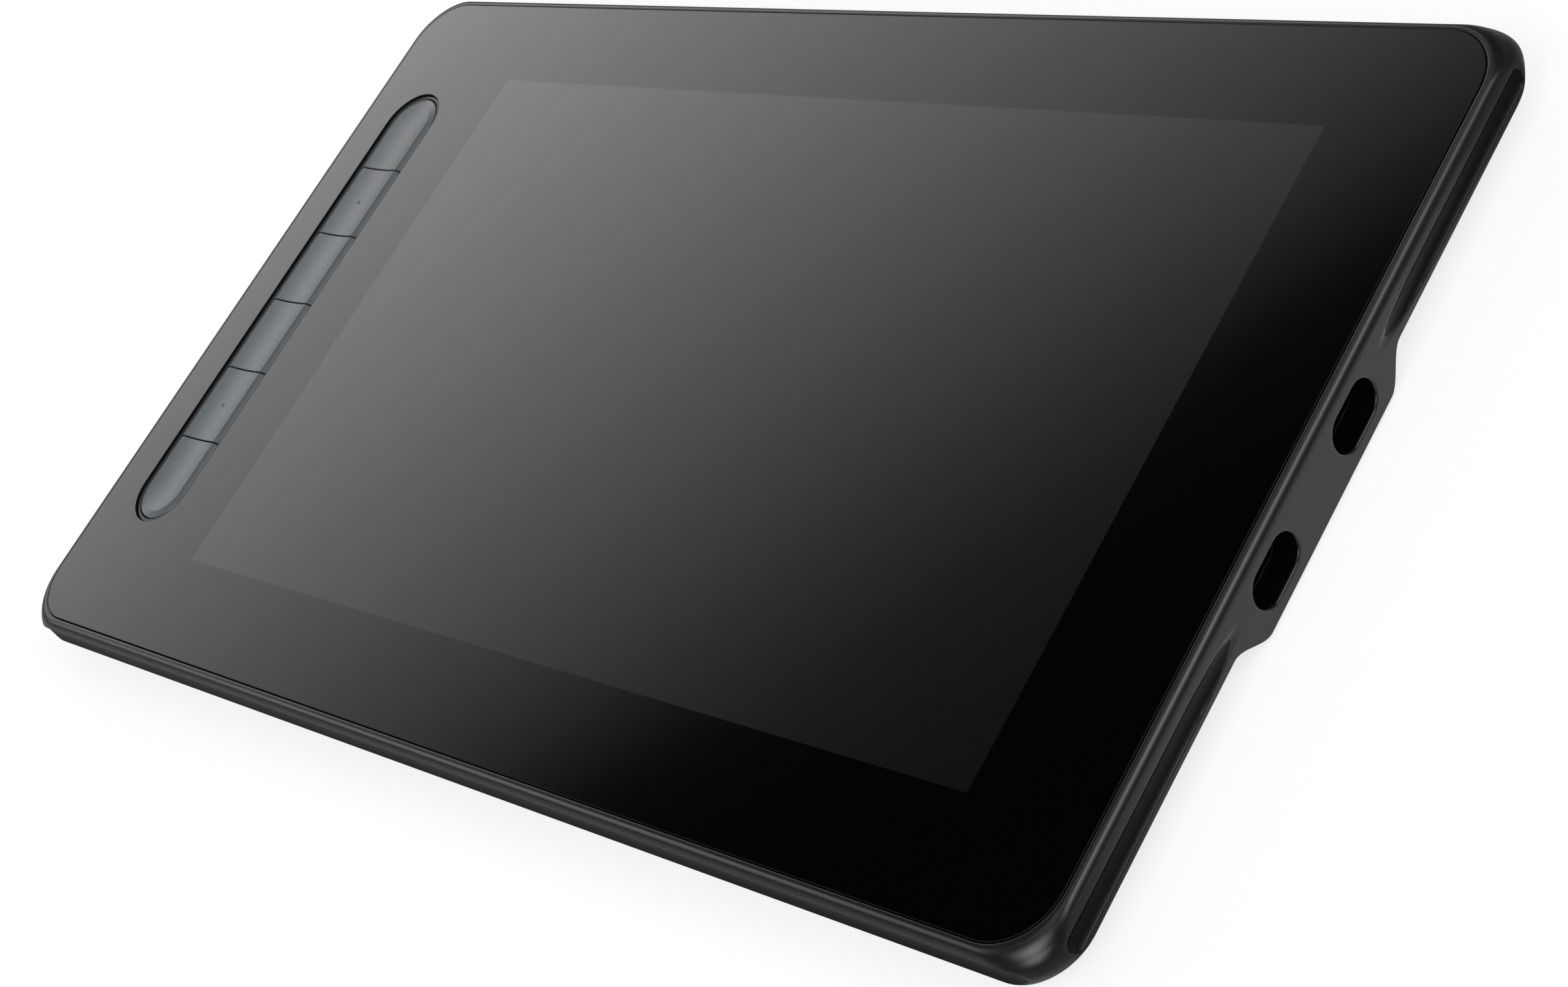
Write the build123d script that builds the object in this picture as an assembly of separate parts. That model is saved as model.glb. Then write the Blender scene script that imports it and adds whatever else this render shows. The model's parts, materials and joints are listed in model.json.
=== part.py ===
from build123d import *
import math
import os

# Pen display with six shortcut keys beside the screen, in millimetres.
# X runs along the long side to the right, Y towards the far side, Z up.
# The origin is under the middle of the body, on the plane that the feet stand on.

# Driving dimensions
# Screen: the picture area, sixteen by nine
screen_length = 224.0
screen_width = 126.0

# Cover glass
glass_thickness = 1.1
glass_corner = 11.3
glass_edge_chamfer = 0.15
border_left = 44.0
border_right = 25.4
border_long = 20.6
film_thickness = 0.1
film_inset = 0.5
adhesive_thickness = 0.3
adhesive_width = 5.0
adhesive_inset = 1.4

# Rim of the housing
glass_gap = 0.2
rim_width = 2.2
rim_bulge = 0.45
rim_corner = 8.5
side_crease_depth = 2.1
side_lip = 0.8
scoop_depth = 0.75

# Pill grooves in the two end facets
facet_crease_depth = 1.8
groove_land = 1.15
groove_width = 4.1
groove_depth = 1.0
groove_end_land = 0.8
groove_straight_share = 0.42
groove_fade = 20.0
groove_run_out_share = 1.2

# Raised underside and the shelf that carries the two ports
belly_rise = 4.8
belly_inset = 12.0
belly_slope_run = 8.0
belly_corner = 18.0
shelf_half_width = 29.4
shelf_slope_run = 8.0
wall = 1.6
housing_side_wall = 2.8
recess_left = 38.0
recess_corner = 6.0
rib_thickness = 1.4
rib_count = 4

# Port mouths
port_length = 12.6
port_height = 7.1
port_spacing = 28.0
port_mouth_depth = 3.5
port_wall = 1.5
port_slot_gap = 0.15
port_lip_chamfer = 0.35
port_roof = 0.45
port_block_margin = 2.2

# Type C receptacles
receptacle_width = 8.94
receptacle_height = 3.26
receptacle_length = 7.3
receptacle_wall = 0.3
receptacle_back = 1.2
receptacle_sink = 0.1
tongue_width = 6.7
tongue_thickness = 0.7
tongue_length = 4.6

# Shortcut keys
key_count = 6
key_split = 0.4
key_strip_length = 113.2
key_strip_width = 14.8
key_end_extra = 1.7
key_edge_depth = 0.4
key_crown_depth = 0.05
key_bevel_width = 1.5
key_dish_sag = 0.4
key_wall = 1.4
key_roof = 1.45
key_post_radius = 1.5
key_post_cover = 0.3
key_travel = 0.5
key_bottom_play = 0.2
key_tab_length = 8.0
key_tab_reach = 0.8
key_tab_overlap = 0.5
key_tab_play = 0.2
key_tab_height = 0.6
key_dot_radius = 0.45
key_dot_rise = 0.2
dotted_keys = (2, 5)
key_hole_end_gap = 1.15
key_hole_side_gap = 1.2
key_hole_from_screen = 16.7

# Key frame, its board and its switches
key_clearance = 0.3
frame_clearance = 0.2
key_ring_depth = 0.55
key_flange_thickness = 1.5
key_flange = 2.0
key_board_width = 18.0
key_board_end_inset = 1.6
board_thickness = 0.8
switch_size = 6.0
switch_height = 2.4
switch_well_gap = 0.3

# Power and brightness keys in the far long side
side_key_length = 9.0
side_key_height = 2.4
side_key_stand = 0.5
side_key_pitch = 14.0
side_keys_from_end = 86.9
side_key_gap = 0.2
side_key_flange = 0.4
side_key_travel = 0.4
side_key_flange_thickness = 0.6
side_key_play = 0.15
side_post_radius = 0.5
side_post_length = 1.5
side_well_gap = 0.25
side_switch_roof = 0.35
side_switch_length = 6.0
side_switch_depth = 3.2
side_switch_cover = 0.3
side_board_depth = 9.0
side_board_gap = 0.3
side_board_margin = 6.0

# Carrier frame
carrier_gap = 0.3
pocket_gap = 1.0
key_pocket_gap = 0.3
flex_channel_gap = 0.2

# Display stack, from the glass down
lcd_margin = 3.0
lcd_near_margin = 5.0
lcd_thickness = 1.2
bond_gap = 0.2
diffuser_thickness = 0.4
guide_thickness = 1.2
reflector_thickness = 0.2
tray_thickness = 0.3
tray_clearance = 0.2
led_bar_width = 1.4
led_gap = 0.2
sensor_thickness = 0.8
shield_thickness = 0.3
foam_thickness = 0.6
foam_width = 5.0
foam_middle_gap = 16.0
foam_end_gap = 4.0

# Main board
main_board_thickness = 1.0
board_stand = 1.6
board_recess_gap = 3.3
board_wide_half = 31.0
board_tail_half = 17.5
board_tail_overlap = 4.0
board_port_gap = 0.2
boss_radius = 2.6
boss_inset = 4.0
chip_inset = 12.2
chip_size = 14.0
chip_height = 1.2
can_chip_gap = 3.5
video_chip_size = 11.0
video_chip_height = 1.0
can_length = 20.0
can_width = 15.0
can_height = 1.7
can_connector_gap = 3.3
connector_length = 4.0
connector_edge_margin = 7.0
connector_width = 13.0
connector_height = 1.0
chip_y_share = 0.30
video_chip_y_share = -0.36
can_y_share = 0.42
flex_width = 11.0
flex_thickness = 0.2
flex_stand = 0.6
flex_spacing = 18.0
side_flex_x_share = 0.22

# Screws
screw_radius = 1.0
screw_clearance = 0.15
screw_thread_clearance = 0.05
screw_head_radius = 1.9
screw_head_height = 1.0
screw_head_recess = 0.1
screw_length = 4.4
screw_inset = 7.5
screw_board_gap = 3.4
screw_short_share = 0.45
drive_slot_width = 0.5
drive_slot_depth = 0.45
board_screw_length = 2.2
board_screw_head_height = 0.9

# Rubber feet
foot_length = 36.0
foot_width = 9.0
foot_proud = 0.8
foot_pocket = 0.6
foot_gap = 0.1
foot_edge_fillet = 0.35
foot_x_share = 0.76
foot_y_share = 0.80

# One overrun serves all cuts
overrun = 1.0

# Values worked out from the driving dimensions
glass_length = border_left + screen_length + border_right
glass_width = screen_width + border_long + border_long
body_length = glass_length + rim_width + rim_width
body_width = glass_width + rim_width + rim_width
facet_x = body_length / 2
side_y = body_width / 2
screen_x = (border_left - border_right) / 2
key_hole_length = key_strip_length + key_hole_end_gap * 2
key_hole_width = key_strip_width + key_hole_side_gap * 2
key_x = screen_x - screen_length / 2 - key_hole_from_screen - key_hole_width / 2
key_pitch = (key_strip_length - key_end_extra * 2) / key_count
key_board_length = key_strip_length - key_board_end_inset * 2
cavity_inset = rim_width - housing_side_wall
seat_depth = glass_thickness + film_thickness + adhesive_thickness
lcd_length = screen_length + lcd_margin + lcd_margin
lcd_width = screen_width + lcd_margin + lcd_near_margin
lcd_y = (lcd_margin - lcd_near_margin) / 2
lcd_top_depth = seat_depth
lcd_bottom_depth = lcd_top_depth + lcd_thickness
diffuser_bottom_depth = lcd_bottom_depth + diffuser_thickness
guide_bottom_depth = diffuser_bottom_depth + guide_thickness
reflector_bottom_depth = guide_bottom_depth + reflector_thickness
tray_bottom_depth = reflector_bottom_depth + tray_thickness
sensor_bottom_depth = tray_bottom_depth + sensor_thickness
shield_bottom_depth = sensor_bottom_depth + shield_thickness
floor_depth = shield_bottom_depth + foam_thickness
rim_depth = floor_depth + wall
belly_depth = rim_depth + belly_rise
belly_floor_depth = belly_depth - wall
total_height = belly_depth + foot_proud
main_board_bottom_depth = belly_floor_depth - board_stand
main_board_top_depth = main_board_bottom_depth - main_board_thickness
port_middle_depth = main_board_top_depth - receptacle_height / 2
port_block_top_depth = port_middle_depth - port_height / 2 - port_roof
port_block_half = port_spacing / 2 + port_length / 2 + port_block_margin
groove_top_depth = facet_crease_depth + groove_land
small_board_top_depth = floor_depth - board_thickness
switch_top_depth = small_board_top_depth - switch_height
key_post_depth = switch_top_depth + key_post_cover
switch_well_floor_depth = key_post_depth + key_travel + key_bottom_play
key_frame_bottom_depth = seat_depth + key_flange_thickness
key_skirt_depth = key_frame_bottom_depth + key_tab_play + key_tab_height
key_roof_depth = key_crown_depth + key_dish_sag + key_roof
port_floor_x = facet_x - port_mouth_depth
port_face_x = port_floor_x - port_wall
receptacle_x = port_floor_x - receptacle_sink
side_key_x = facet_x - side_keys_from_end
board_wide_right = facet_x - belly_inset - belly_slope_run - wall - board_recess_gap
tail_connector_x = board_wide_right - connector_edge_margin - connector_length / 2
can_x = tail_connector_x - connector_length / 2 - can_connector_gap - can_length / 2
chip_x = can_x - can_length / 2 - can_chip_gap - chip_size / 2
board_wide_left = chip_x - chip_size / 2 - chip_inset
port_places = {"port_far": port_spacing / 2, "port_near": -port_spacing / 2}
bulge_y = side_y + rim_bulge
bulge_x = facet_x + rim_bulge
facet_end_y = bulge_y - rim_corner + math.sqrt(rim_corner ** 2 - (rim_corner - rim_bulge) ** 2)
side_key_depth = (side_crease_depth + rim_depth - side_lip) / 2
side_key_flange_top_depth = side_key_depth - side_key_height / 2 - side_key_flange
scoop_floor_y = side_y - scoop_depth + rim_bulge / 2
side_flange_y = side_y - housing_side_wall - side_key_play
side_post_tip_y = side_flange_y - side_key_flange_thickness - side_post_length
side_board_y = side_flange_y - side_key_flange_thickness - side_key_travel - side_board_gap
side_board_left = side_key_x - side_board_margin - side_key_length / 2
side_board_right = side_key_x + side_key_pitch * 2 + side_board_margin + side_key_length / 2
side_key_places = {
    "brightness_down_key": side_key_x,
    "brightness_up_key": side_key_x + side_key_pitch,
    "power_key": side_key_x + side_key_pitch * 2,
}

# Sections of the rim from its crown down: depth as a share of rim_depth, outset as a share
# of the widest outset, and corner radius from the rim's own, 0, to the glass's, 1
rim_section_shares = (
    (0.02, 0.30, 1.00),
    (0.09, 0.66, 0.86),
    (0.22, 0.84, 0.52),
    (0.52, 1.00, 0.00),
    (0.90, 0.95, 0.00),
    (1.00, 0.80, 0.00),
)

# The slope of the raised underside: depth share against run share
belly_slope_shares = ((0.0, 0.0), (0.10, 0.20), (0.50, 0.50), (0.90, 0.80), (1.0, 1.0))


def level(depth):
    """Height of a plane that lies the given depth under the top of the glass."""
    return total_height - depth


def rounded(length, width, corner, top_depth, bottom_depth, x=0, y=0):
    """Plate with rounded corners between two depths."""
    face = Pos(x, y, level(bottom_depth)) * RectangleRounded(length, width, corner)
    return extrude(face, bottom_depth - top_depth)


def plate(length, width, top_depth, bottom_depth, x=0, y=0):
    """Square cornered plate between two depths."""
    face = Pos(x, y, level(bottom_depth)) * Rectangle(length, width)
    return extrude(face, bottom_depth - top_depth)


def pill(length, width, top_depth, bottom_depth, x=0, y=0):
    """Plate with round ends, its long side along Y."""
    face = Pos(x, y, level(bottom_depth)) * SlotOverall(length, width, rotation=90)
    return extrude(face, bottom_depth - top_depth)


def disc(radius, top_depth, bottom_depth, x=0, y=0):
    """Upright cylinder between two depths."""
    face = Pos(x, y, level(bottom_depth)) * Circle(radius)
    return extrude(face, bottom_depth - top_depth)


def span(low, high, y_low, y_high, top_depth, bottom_depth):
    """Plate given by its limits along X and Y."""
    return plate(high - low, y_high - y_low, top_depth, bottom_depth, (low + high) / 2, (y_low + y_high) / 2)


def chord_radius(chord, sag):
    """Radius of the arc that spans a chord with the given sag."""
    return (chord ** 2 / 4 + sag ** 2) / (sag + sag)


def save(node, shape):
    """Write one node, its separate solids kept apart."""
    export_step(shape, os.path.join("parts", node + ".step"))


os.makedirs("parts", exist_ok=True)


# Rear housing: one moulded tub with its rim, facets, scoops and raised underside
def rim_body():
    widest = rim_width + rim_bulge
    sections = []
    for depth_share, outset_share, corner_share in rim_section_shares:
        outset = outset_share * widest
        corner = rim_corner + corner_share * (glass_corner + rim_bulge - rim_corner)
        outline = RectangleRounded(glass_length + outset * 2, glass_width + outset * 2, corner)
        sections.append(Pos(0, 0, level(depth_share * rim_depth)) * outline)
    return loft(sections)


def end_facet_cutters():
    cutters = []
    for side in (-1, 1):
        middle = side * (facet_x + rim_bulge / 2 + overrun / 2)
        cutters.append(plate(rim_bulge + overrun, body_width + overrun * 2, 0, belly_depth, middle))
    return cutters


def groove_cutter(side, end):
    """Round bar that sinks into an end facet near a corner and leaves it before the middle."""
    radius = chord_radius(groove_width, groove_depth)
    axis_x = facet_x + radius - groove_depth
    start_y = facet_end_y - groove_end_land - groove_width / 2
    straight_end_y = start_y * (1 - groove_straight_share)
    fade_radius = chord_radius(groove_fade * 2, groove_depth)
    depth = groove_top_depth + groove_width / 2
    line = Line((axis_x, start_y, level(depth)), (axis_x, straight_end_y, level(depth)))
    fade_angle = math.degrees(math.asin(groove_fade * groove_run_out_share / fade_radius))
    centre = (axis_x + fade_radius, straight_end_y, level(depth))
    arc = Pos(*centre) * CenterArc((0, 0), fade_radius, 180, fade_angle)
    section = Plane(origin=(axis_x, start_y, level(depth)), z_dir=(0, -1, 0)) * Circle(radius)
    bar = sweep(section, path=Wire([line, arc.edge()]))
    bar += Pos(axis_x, start_y, level(depth)) * Sphere(radius)
    if side < 0:
        bar = mirror(bar, Plane.YZ)
    if end < 0:
        bar = mirror(bar, Plane.XZ)
    return bar


def side_scoop(side):
    """Long shallow bar that hollows a long side between its crease and its lower lip."""
    chord = rim_depth - side_lip - side_crease_depth
    radius = chord_radius(chord, scoop_depth)
    axis_y = scoop_floor_y + radius
    bar = Rot(0, 90, 0) * Cylinder(radius, body_length + overrun * 2)
    return Pos(0, side * axis_y, level(side_key_depth)) * bar


def belly():
    rise = belly_depth - rim_depth
    sections = []
    for depth_share, run_share in belly_slope_shares:
        inset = belly_inset + run_share * belly_slope_run
        corner = belly_corner - run_share * belly_slope_run
        outline = RectangleRounded(body_length - inset * 2, body_width - inset * 2, corner)
        sections.append(Pos(0, 0, level(rim_depth + depth_share * rise)) * outline)
    return loft(sections)


def port_shelf():
    """Tongue of the raised underside that reaches the right facet and carries the ports."""
    low = level(belly_depth)
    high = level(rim_depth)
    top = level(floor_depth)
    foot = shelf_half_width - shelf_slope_run
    near_s = Spline((-shelf_half_width, high), (-foot, low), tangents=[(1, 0), (1, 0)])
    far_s = Spline((foot, low), (shelf_half_width, high), tangents=[(1, 0), (1, 0)])
    profile = Polyline((shelf_half_width, high), (shelf_half_width, top), (-shelf_half_width, top),
                       (-shelf_half_width, high))
    outline = near_s + Line((-foot, low), (foot, low)) + far_s + profile
    start_x = facet_x - belly_inset - belly_slope_run * 2
    face = Plane(origin=(start_x, 0, 0), x_dir=(0, 1, 0), z_dir=(1, 0, 0)) * make_face(outline)
    return extrude(face, facet_x - start_x)


def underside_recess():
    """Hollow over the raised underside for the main board, with cross ribs left standing."""
    right = facet_x - belly_inset - belly_slope_run - wall
    left = -facet_x + recess_left
    half = side_y - belly_inset - belly_slope_run - wall
    room = rounded(right - left, half * 2, recess_corner, floor_depth - overrun, belly_floor_depth,
                   (left + right) / 2)
    shelf_half = shelf_half_width - shelf_slope_run - wall
    room += span(right - recess_corner, port_face_x, -shelf_half, shelf_half,
                 floor_depth - overrun, belly_floor_depth)
    for rib_x in rib_places():
        room -= plate(rib_thickness, half * 2, floor_depth, belly_floor_depth, rib_x)
    return room


def rib_places():
    left = -facet_x + recess_left
    step = (board_wide_left - left) / (rib_count + 1)
    return [left + step * (index + 1) for index in range(rib_count)]


def board_boss_places():
    left = board_wide_left + boss_inset
    right = board_wide_right - boss_inset
    half = board_wide_half - boss_inset
    return [(left, half), (left, -half), (right, half), (right, -half)]


def screw_places():
    x = facet_x - screw_inset
    y = side_y - screw_inset
    places = []
    for across in (-1, 1):
        for along in (-1, 1):
            places.append((along * x, across * y))
            places.append((along * (side_board_left - screw_board_gap), across * y))
            places.append((along * x, across * y * screw_short_share))
    return places


def foot_places():
    x = (facet_x - belly_inset - belly_slope_run) * foot_x_share
    y = (side_y - belly_inset - belly_slope_run) * foot_y_share
    return {
        "foot_far_left": (-x, y),
        "foot_far_right": (x, y),
        "foot_near_left": (-x, -y),
        "foot_near_right": (x, -y),
    }


def foot_plate(length, width, top_depth, bottom_depth, x, y):
    face = Pos(x, y, level(bottom_depth)) * SlotOverall(length, width)
    return extrude(face, bottom_depth - top_depth)


def port_tunnel_cutter(y):
    mouth = Plane(origin=(facet_x + overrun, y, level(port_middle_depth)), x_dir=(0, 1, 0), z_dir=(-1, 0, 0))
    return extrude(mouth * SlotOverall(port_length, port_height), port_mouth_depth + overrun)


def port_slot_cutter(y):
    """Slot in the floor of a port mouth that the receptacle's shell stands in."""
    floor = Plane(origin=(facet_x, y, level(port_middle_depth)), x_dir=(0, 1, 0), z_dir=(-1, 0, 0))
    slot = SlotOverall(receptacle_width + port_slot_gap * 2, receptacle_height + port_slot_gap * 2)
    return extrude(floor * slot, port_mouth_depth + port_wall + overrun)


def port_lip_cutter(y):
    """Flared cutter that breaks the edge of a port mouth."""
    root_x = facet_x - port_lip_chamfer
    root = Plane(origin=(root_x, y, level(port_middle_depth)), x_dir=(0, 1, 0), z_dir=(1, 0, 0))
    return extrude(root * SlotOverall(port_length, port_height), port_lip_chamfer * 2, taper=-45)


def side_key_outline(x, y, grow):
    face = SlotOverall(side_key_length + grow * 2, side_key_height + grow * 2)
    return Plane(origin=(x, y, level(side_key_depth)), x_dir=(1, 0, 0), z_dir=(0, -1, 0)) * face


def rear_housing():
    shell = rim_body()
    shell += belly()
    for cutter in end_facet_cutters():
        shell -= cutter
    shell += port_shelf()
    for side in (-1, 1):
        for end in (-1, 1):
            shell -= groove_cutter(side, end)
        shell -= side_scoop(side)
    pocket_length = glass_length + glass_gap * 2
    pocket_width = glass_width + glass_gap * 2
    shell -= rounded(pocket_length, pocket_width, glass_corner + glass_gap, -overrun, seat_depth)
    inner_length = glass_length + cavity_inset * 2
    inner_width = glass_width + cavity_inset * 2
    inner_corner = glass_corner + cavity_inset
    shell -= rounded(inner_length, inner_width, inner_corner, 0, floor_depth)
    shell -= underside_recess()
    shell += span(port_face_x, facet_x - rim_width, -port_block_half, port_block_half,
                  port_block_top_depth, belly_floor_depth)
    for y in port_places.values():
        shell -= port_tunnel_cutter(y)
        shell -= port_lip_cutter(y)
        shell -= port_slot_cutter(y)
    for x, y in board_boss_places():
        boss = disc(boss_radius, main_board_bottom_depth, belly_floor_depth, x, y)
        shell += boss - disc(screw_radius + screw_thread_clearance, 0, belly_floor_depth, x, y)
    for x, y in screw_places():
        shell -= disc(screw_radius + screw_clearance, 0, belly_depth, x, y)
        head_top = rim_depth - screw_head_height - screw_head_recess
        shell -= disc(screw_head_radius + screw_clearance, head_top, belly_depth, x, y)
    for x, y in foot_places().values():
        shell -= foot_plate(foot_length + foot_gap * 2, foot_width + foot_gap * 2,
                            belly_depth - foot_pocket, belly_depth + overrun, x, y)
    for x in side_key_places.values():
        hole = side_key_outline(x, side_y + overrun, side_key_gap)
        shell -= extrude(hole, housing_side_wall + overrun * 2)
    return shell


# Cover glass with the pill shaped hole for the keys
def cover_glass():
    sheet = rounded(glass_length, glass_width, glass_corner, 0, glass_thickness)
    sheet -= pill(key_hole_length, key_hole_width, -overrun, glass_thickness + overrun, key_x)
    return chamfer(sheet.faces().sort_by(Axis.Z)[-1].edges(), glass_edge_chamfer)


def border_film():
    top = glass_thickness
    bottom = top + film_thickness
    sheet = rounded(glass_length - film_inset * 2, glass_width - film_inset * 2,
                    glass_corner - film_inset, top, bottom)
    sheet -= plate(screen_length, screen_width, top - overrun, bottom + overrun, screen_x)
    sheet -= pill(key_hole_length + film_inset, key_hole_width + film_inset, top - overrun,
                  bottom + overrun, key_x)
    return sheet


def glass_adhesive():
    top = glass_thickness + film_thickness
    outer_length = glass_length - adhesive_inset * 2
    outer_width = glass_width - adhesive_inset * 2
    ring = rounded(outer_length, outer_width, glass_corner - adhesive_inset, top, seat_depth)
    ring -= rounded(outer_length - adhesive_width * 2, outer_width - adhesive_width * 2,
                    glass_corner - adhesive_inset - adhesive_width, 0, seat_depth)
    key_ring = pill(key_hole_length + key_flange * 2, key_hole_width + key_flange * 2, top, seat_depth, key_x)
    key_ring -= pill(key_hole_length + film_inset, key_hole_width + film_inset, 0, seat_depth, key_x)
    return Compound([ring.solid(), key_ring.solid()])


# Display stack under the glass
def stack_sheet(top_depth, bottom_depth, grow=0):
    return plate(lcd_length + grow * 2, lcd_width + grow * 2, top_depth, bottom_depth, screen_x, lcd_y)


def optical_bond():
    return plate(screen_length - bond_gap * 2, screen_width - bond_gap * 2, glass_thickness,
                 lcd_top_depth, screen_x)


def backlight_tray():
    inner = lcd_length - (tray_thickness + tray_clearance) * 2
    inner_width = lcd_width - (tray_thickness + tray_clearance) * 2
    tray = plate(inner + tray_thickness * 2, inner_width + tray_thickness * 2, lcd_bottom_depth,
                 tray_bottom_depth, screen_x, lcd_y)
    return tray - plate(inner, inner_width, 0, reflector_bottom_depth, screen_x, lcd_y)


def tray_sheet(top_depth, bottom_depth, near_trim=0):
    length = lcd_length - (tray_thickness + tray_clearance * 2) * 2
    width = lcd_width - (tray_thickness + tray_clearance * 2) * 2
    y = lcd_y + near_trim / 2
    return plate(length, width - near_trim, top_depth, bottom_depth, screen_x, y)


def led_bar():
    width = lcd_width - (tray_thickness + tray_clearance * 2) * 2
    length = lcd_length - (tray_thickness + tray_clearance * 2) * 2
    y = lcd_y - width / 2 + led_bar_width / 2
    return plate(length, led_bar_width, diffuser_bottom_depth, guide_bottom_depth, screen_x, y)


def support_foam():
    reach = side_y - belly_inset - belly_slope_run - wall
    outer = min(reach, lcd_width / 2) - foam_end_gap
    length = outer - foam_middle_gap / 2
    pads = []
    for rib_x in rib_places():
        for side in (-1, 1):
            y = side * (outer + foam_middle_gap / 2) / 2
            pads.append(plate(foam_width, length, shield_bottom_depth, floor_depth, rib_x, y).solid())
    return Compound(pads)


# Carrier frame between the tub and the glass
def carrier_frame():
    length = glass_length + (cavity_inset - carrier_gap) * 2
    width = glass_width + (cavity_inset - carrier_gap) * 2
    frame = rounded(length, width, glass_corner + cavity_inset - carrier_gap, seat_depth, floor_depth)
    frame -= stack_sheet(0, belly_depth, pocket_gap)
    frame -= pill(key_hole_length + (key_flange + key_pocket_gap) * 2,
                  key_hole_width + (key_flange + key_pocket_gap) * 2, 0, belly_depth, key_x)
    block_half = port_block_half + carrier_gap
    room_left = receptacle_x - receptacle_length - pocket_gap
    frame -= span(room_left, facet_x, -block_half, block_half, port_block_top_depth - carrier_gap, belly_depth)
    left = side_board_left - carrier_gap
    right = side_board_right + carrier_gap
    back = side_board_y - side_board_depth - carrier_gap
    frame -= span(left, right, back, side_y, side_key_flange_top_depth - carrier_gap, belly_depth)
    channel_top = shield_bottom_depth - flex_channel_gap
    half = flex_width / 2 + carrier_gap
    frame -= span(key_x, screen_x, -half, half, channel_top, belly_depth)
    flex_x = side_flex_x()
    frame -= span(flex_x - half, flex_x + half, 0, back + overrun, channel_top, belly_depth)
    for x, y in screw_places():
        frame -= disc(screw_radius + screw_thread_clearance, floor_depth - screw_length, floor_depth, x, y)
    return frame


def side_flex_x():
    return board_wide_left + (board_wide_right - board_wide_left) * side_flex_x_share


# Shortcut keys: one strip with a bevelled rim and a long dish, split into six caps
def key_strip():
    body = pill(key_strip_length, key_strip_width, key_edge_depth, key_skirt_depth, key_x)
    low = Pos(key_x, 0, level(key_edge_depth)) * SlotOverall(key_strip_length, key_strip_width, rotation=90)
    crown_length = key_strip_length - key_bevel_width * 2
    crown_width = key_strip_width - key_bevel_width * 2
    high = Pos(key_x, 0, level(key_crown_depth)) * SlotOverall(crown_length, crown_width, rotation=90)
    body += loft([low, high], ruled=True)
    radius = chord_radius(crown_width, key_dish_sag)
    half = (crown_length - crown_width) / 2
    axis_z = level(key_crown_depth + key_dish_sag) + radius
    body -= Pos(key_x, 0, axis_z) * Rot(90, 0, 0) * Cylinder(radius, half * 2)
    for end in (-1, 1):
        body -= Pos(key_x, end * half, axis_z) * Sphere(radius)
    return body


def key_limits(index):
    """Y limits of one cap, counted from the far end."""
    far = key_pitch * (key_count / 2 - index + 1) - key_split / 2
    near = far - key_pitch + key_split
    if index == 1:
        far = key_strip_length / 2
    if index == key_count:
        near = -key_strip_length / 2
    return near, far


def key_post_y(index):
    return key_pitch * (key_count / 2 - index + 1 / 2)


def shortcut_key(strip, index):
    near, far = key_limits(index)
    half = key_strip_width / 2
    cap = strip & span(key_x - half, key_x + half, near, far, 0, key_skirt_depth)
    hollow = pill(key_strip_length - key_wall * 2, key_strip_width - key_wall * 2, key_roof_depth,
                  key_skirt_depth, key_x)
    hollow &= span(key_x - half, key_x + half, near + key_wall, far - key_wall, key_roof_depth, key_skirt_depth)
    cap -= hollow
    post_y = key_post_y(index)
    cap += disc(key_post_radius, key_roof_depth, key_post_depth, key_x, post_y)
    for side in (-1, 1):
        x = key_x + side * (half + (key_tab_reach - key_tab_overlap) / 2)
        tab_top = key_skirt_depth - key_tab_height
        cap += plate(key_tab_reach + key_tab_overlap, key_tab_length, tab_top, key_skirt_depth, x, post_y)
    if index in dotted_keys:
        dish_depth = key_crown_depth + key_dish_sag
        dot = Pos(key_x, post_y, level(dish_depth) + key_dot_rise - key_dot_radius) * Sphere(key_dot_radius)
        cap += dot & disc(key_dot_radius + overrun, 0, dish_depth + key_dot_radius, key_x, post_y)
    return cap


def key_frame():
    length = key_hole_length - frame_clearance * 2
    width = key_hole_width - frame_clearance * 2
    frame = pill(length, width, key_ring_depth, key_frame_bottom_depth, key_x)
    frame += pill(key_hole_length + key_flange * 2, key_hole_width + key_flange * 2, seat_depth,
                  key_frame_bottom_depth, key_x)
    return frame - pill(key_strip_length + key_clearance * 2, key_strip_width + key_clearance * 2,
                        -overrun, key_frame_bottom_depth, key_x)


def key_switches():
    switches = []
    for index in range(1, key_count + 1):
        y = key_post_y(index)
        body = plate(switch_size, switch_size, switch_top_depth, small_board_top_depth, key_x, y)
        body -= disc(key_post_radius + switch_well_gap, 0, switch_well_floor_depth, key_x, y)
        switches.append(body.solid())
    return Compound(switches)


# Side keys with their switches
def side_key(x):
    outer_y = scoop_floor_y + side_key_stand
    cap = extrude(side_key_outline(x, outer_y, 0), outer_y - side_flange_y)
    cap += extrude(side_key_outline(x, side_flange_y, side_key_flange), side_key_flange_thickness)
    root = (x, side_flange_y - side_key_flange_thickness, level(side_key_depth))
    return cap + extrude(Plane(origin=root, z_dir=(0, -1, 0)) * Circle(side_post_radius), side_post_length)


def side_switches():
    front = side_post_tip_y + side_switch_cover
    well = side_switch_cover + side_key_travel + side_switch_cover
    well_radius = side_post_radius + side_well_gap
    top = side_key_depth - well_radius - side_switch_roof
    switches = []
    for x in side_key_places.values():
        body = plate(side_switch_length, side_switch_depth, top, small_board_top_depth, x,
                     front - side_switch_depth / 2)
        mouth = Plane(origin=(x, front + overrun, level(side_key_depth)), z_dir=(0, -1, 0))
        body -= extrude(mouth * Circle(well_radius), well + overrun)
        switches.append(body.solid())
    return Compound(switches)


def side_board():
    return span(side_board_left, side_board_right, side_board_y - side_board_depth, side_board_y,
                small_board_top_depth, floor_depth)


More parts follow.
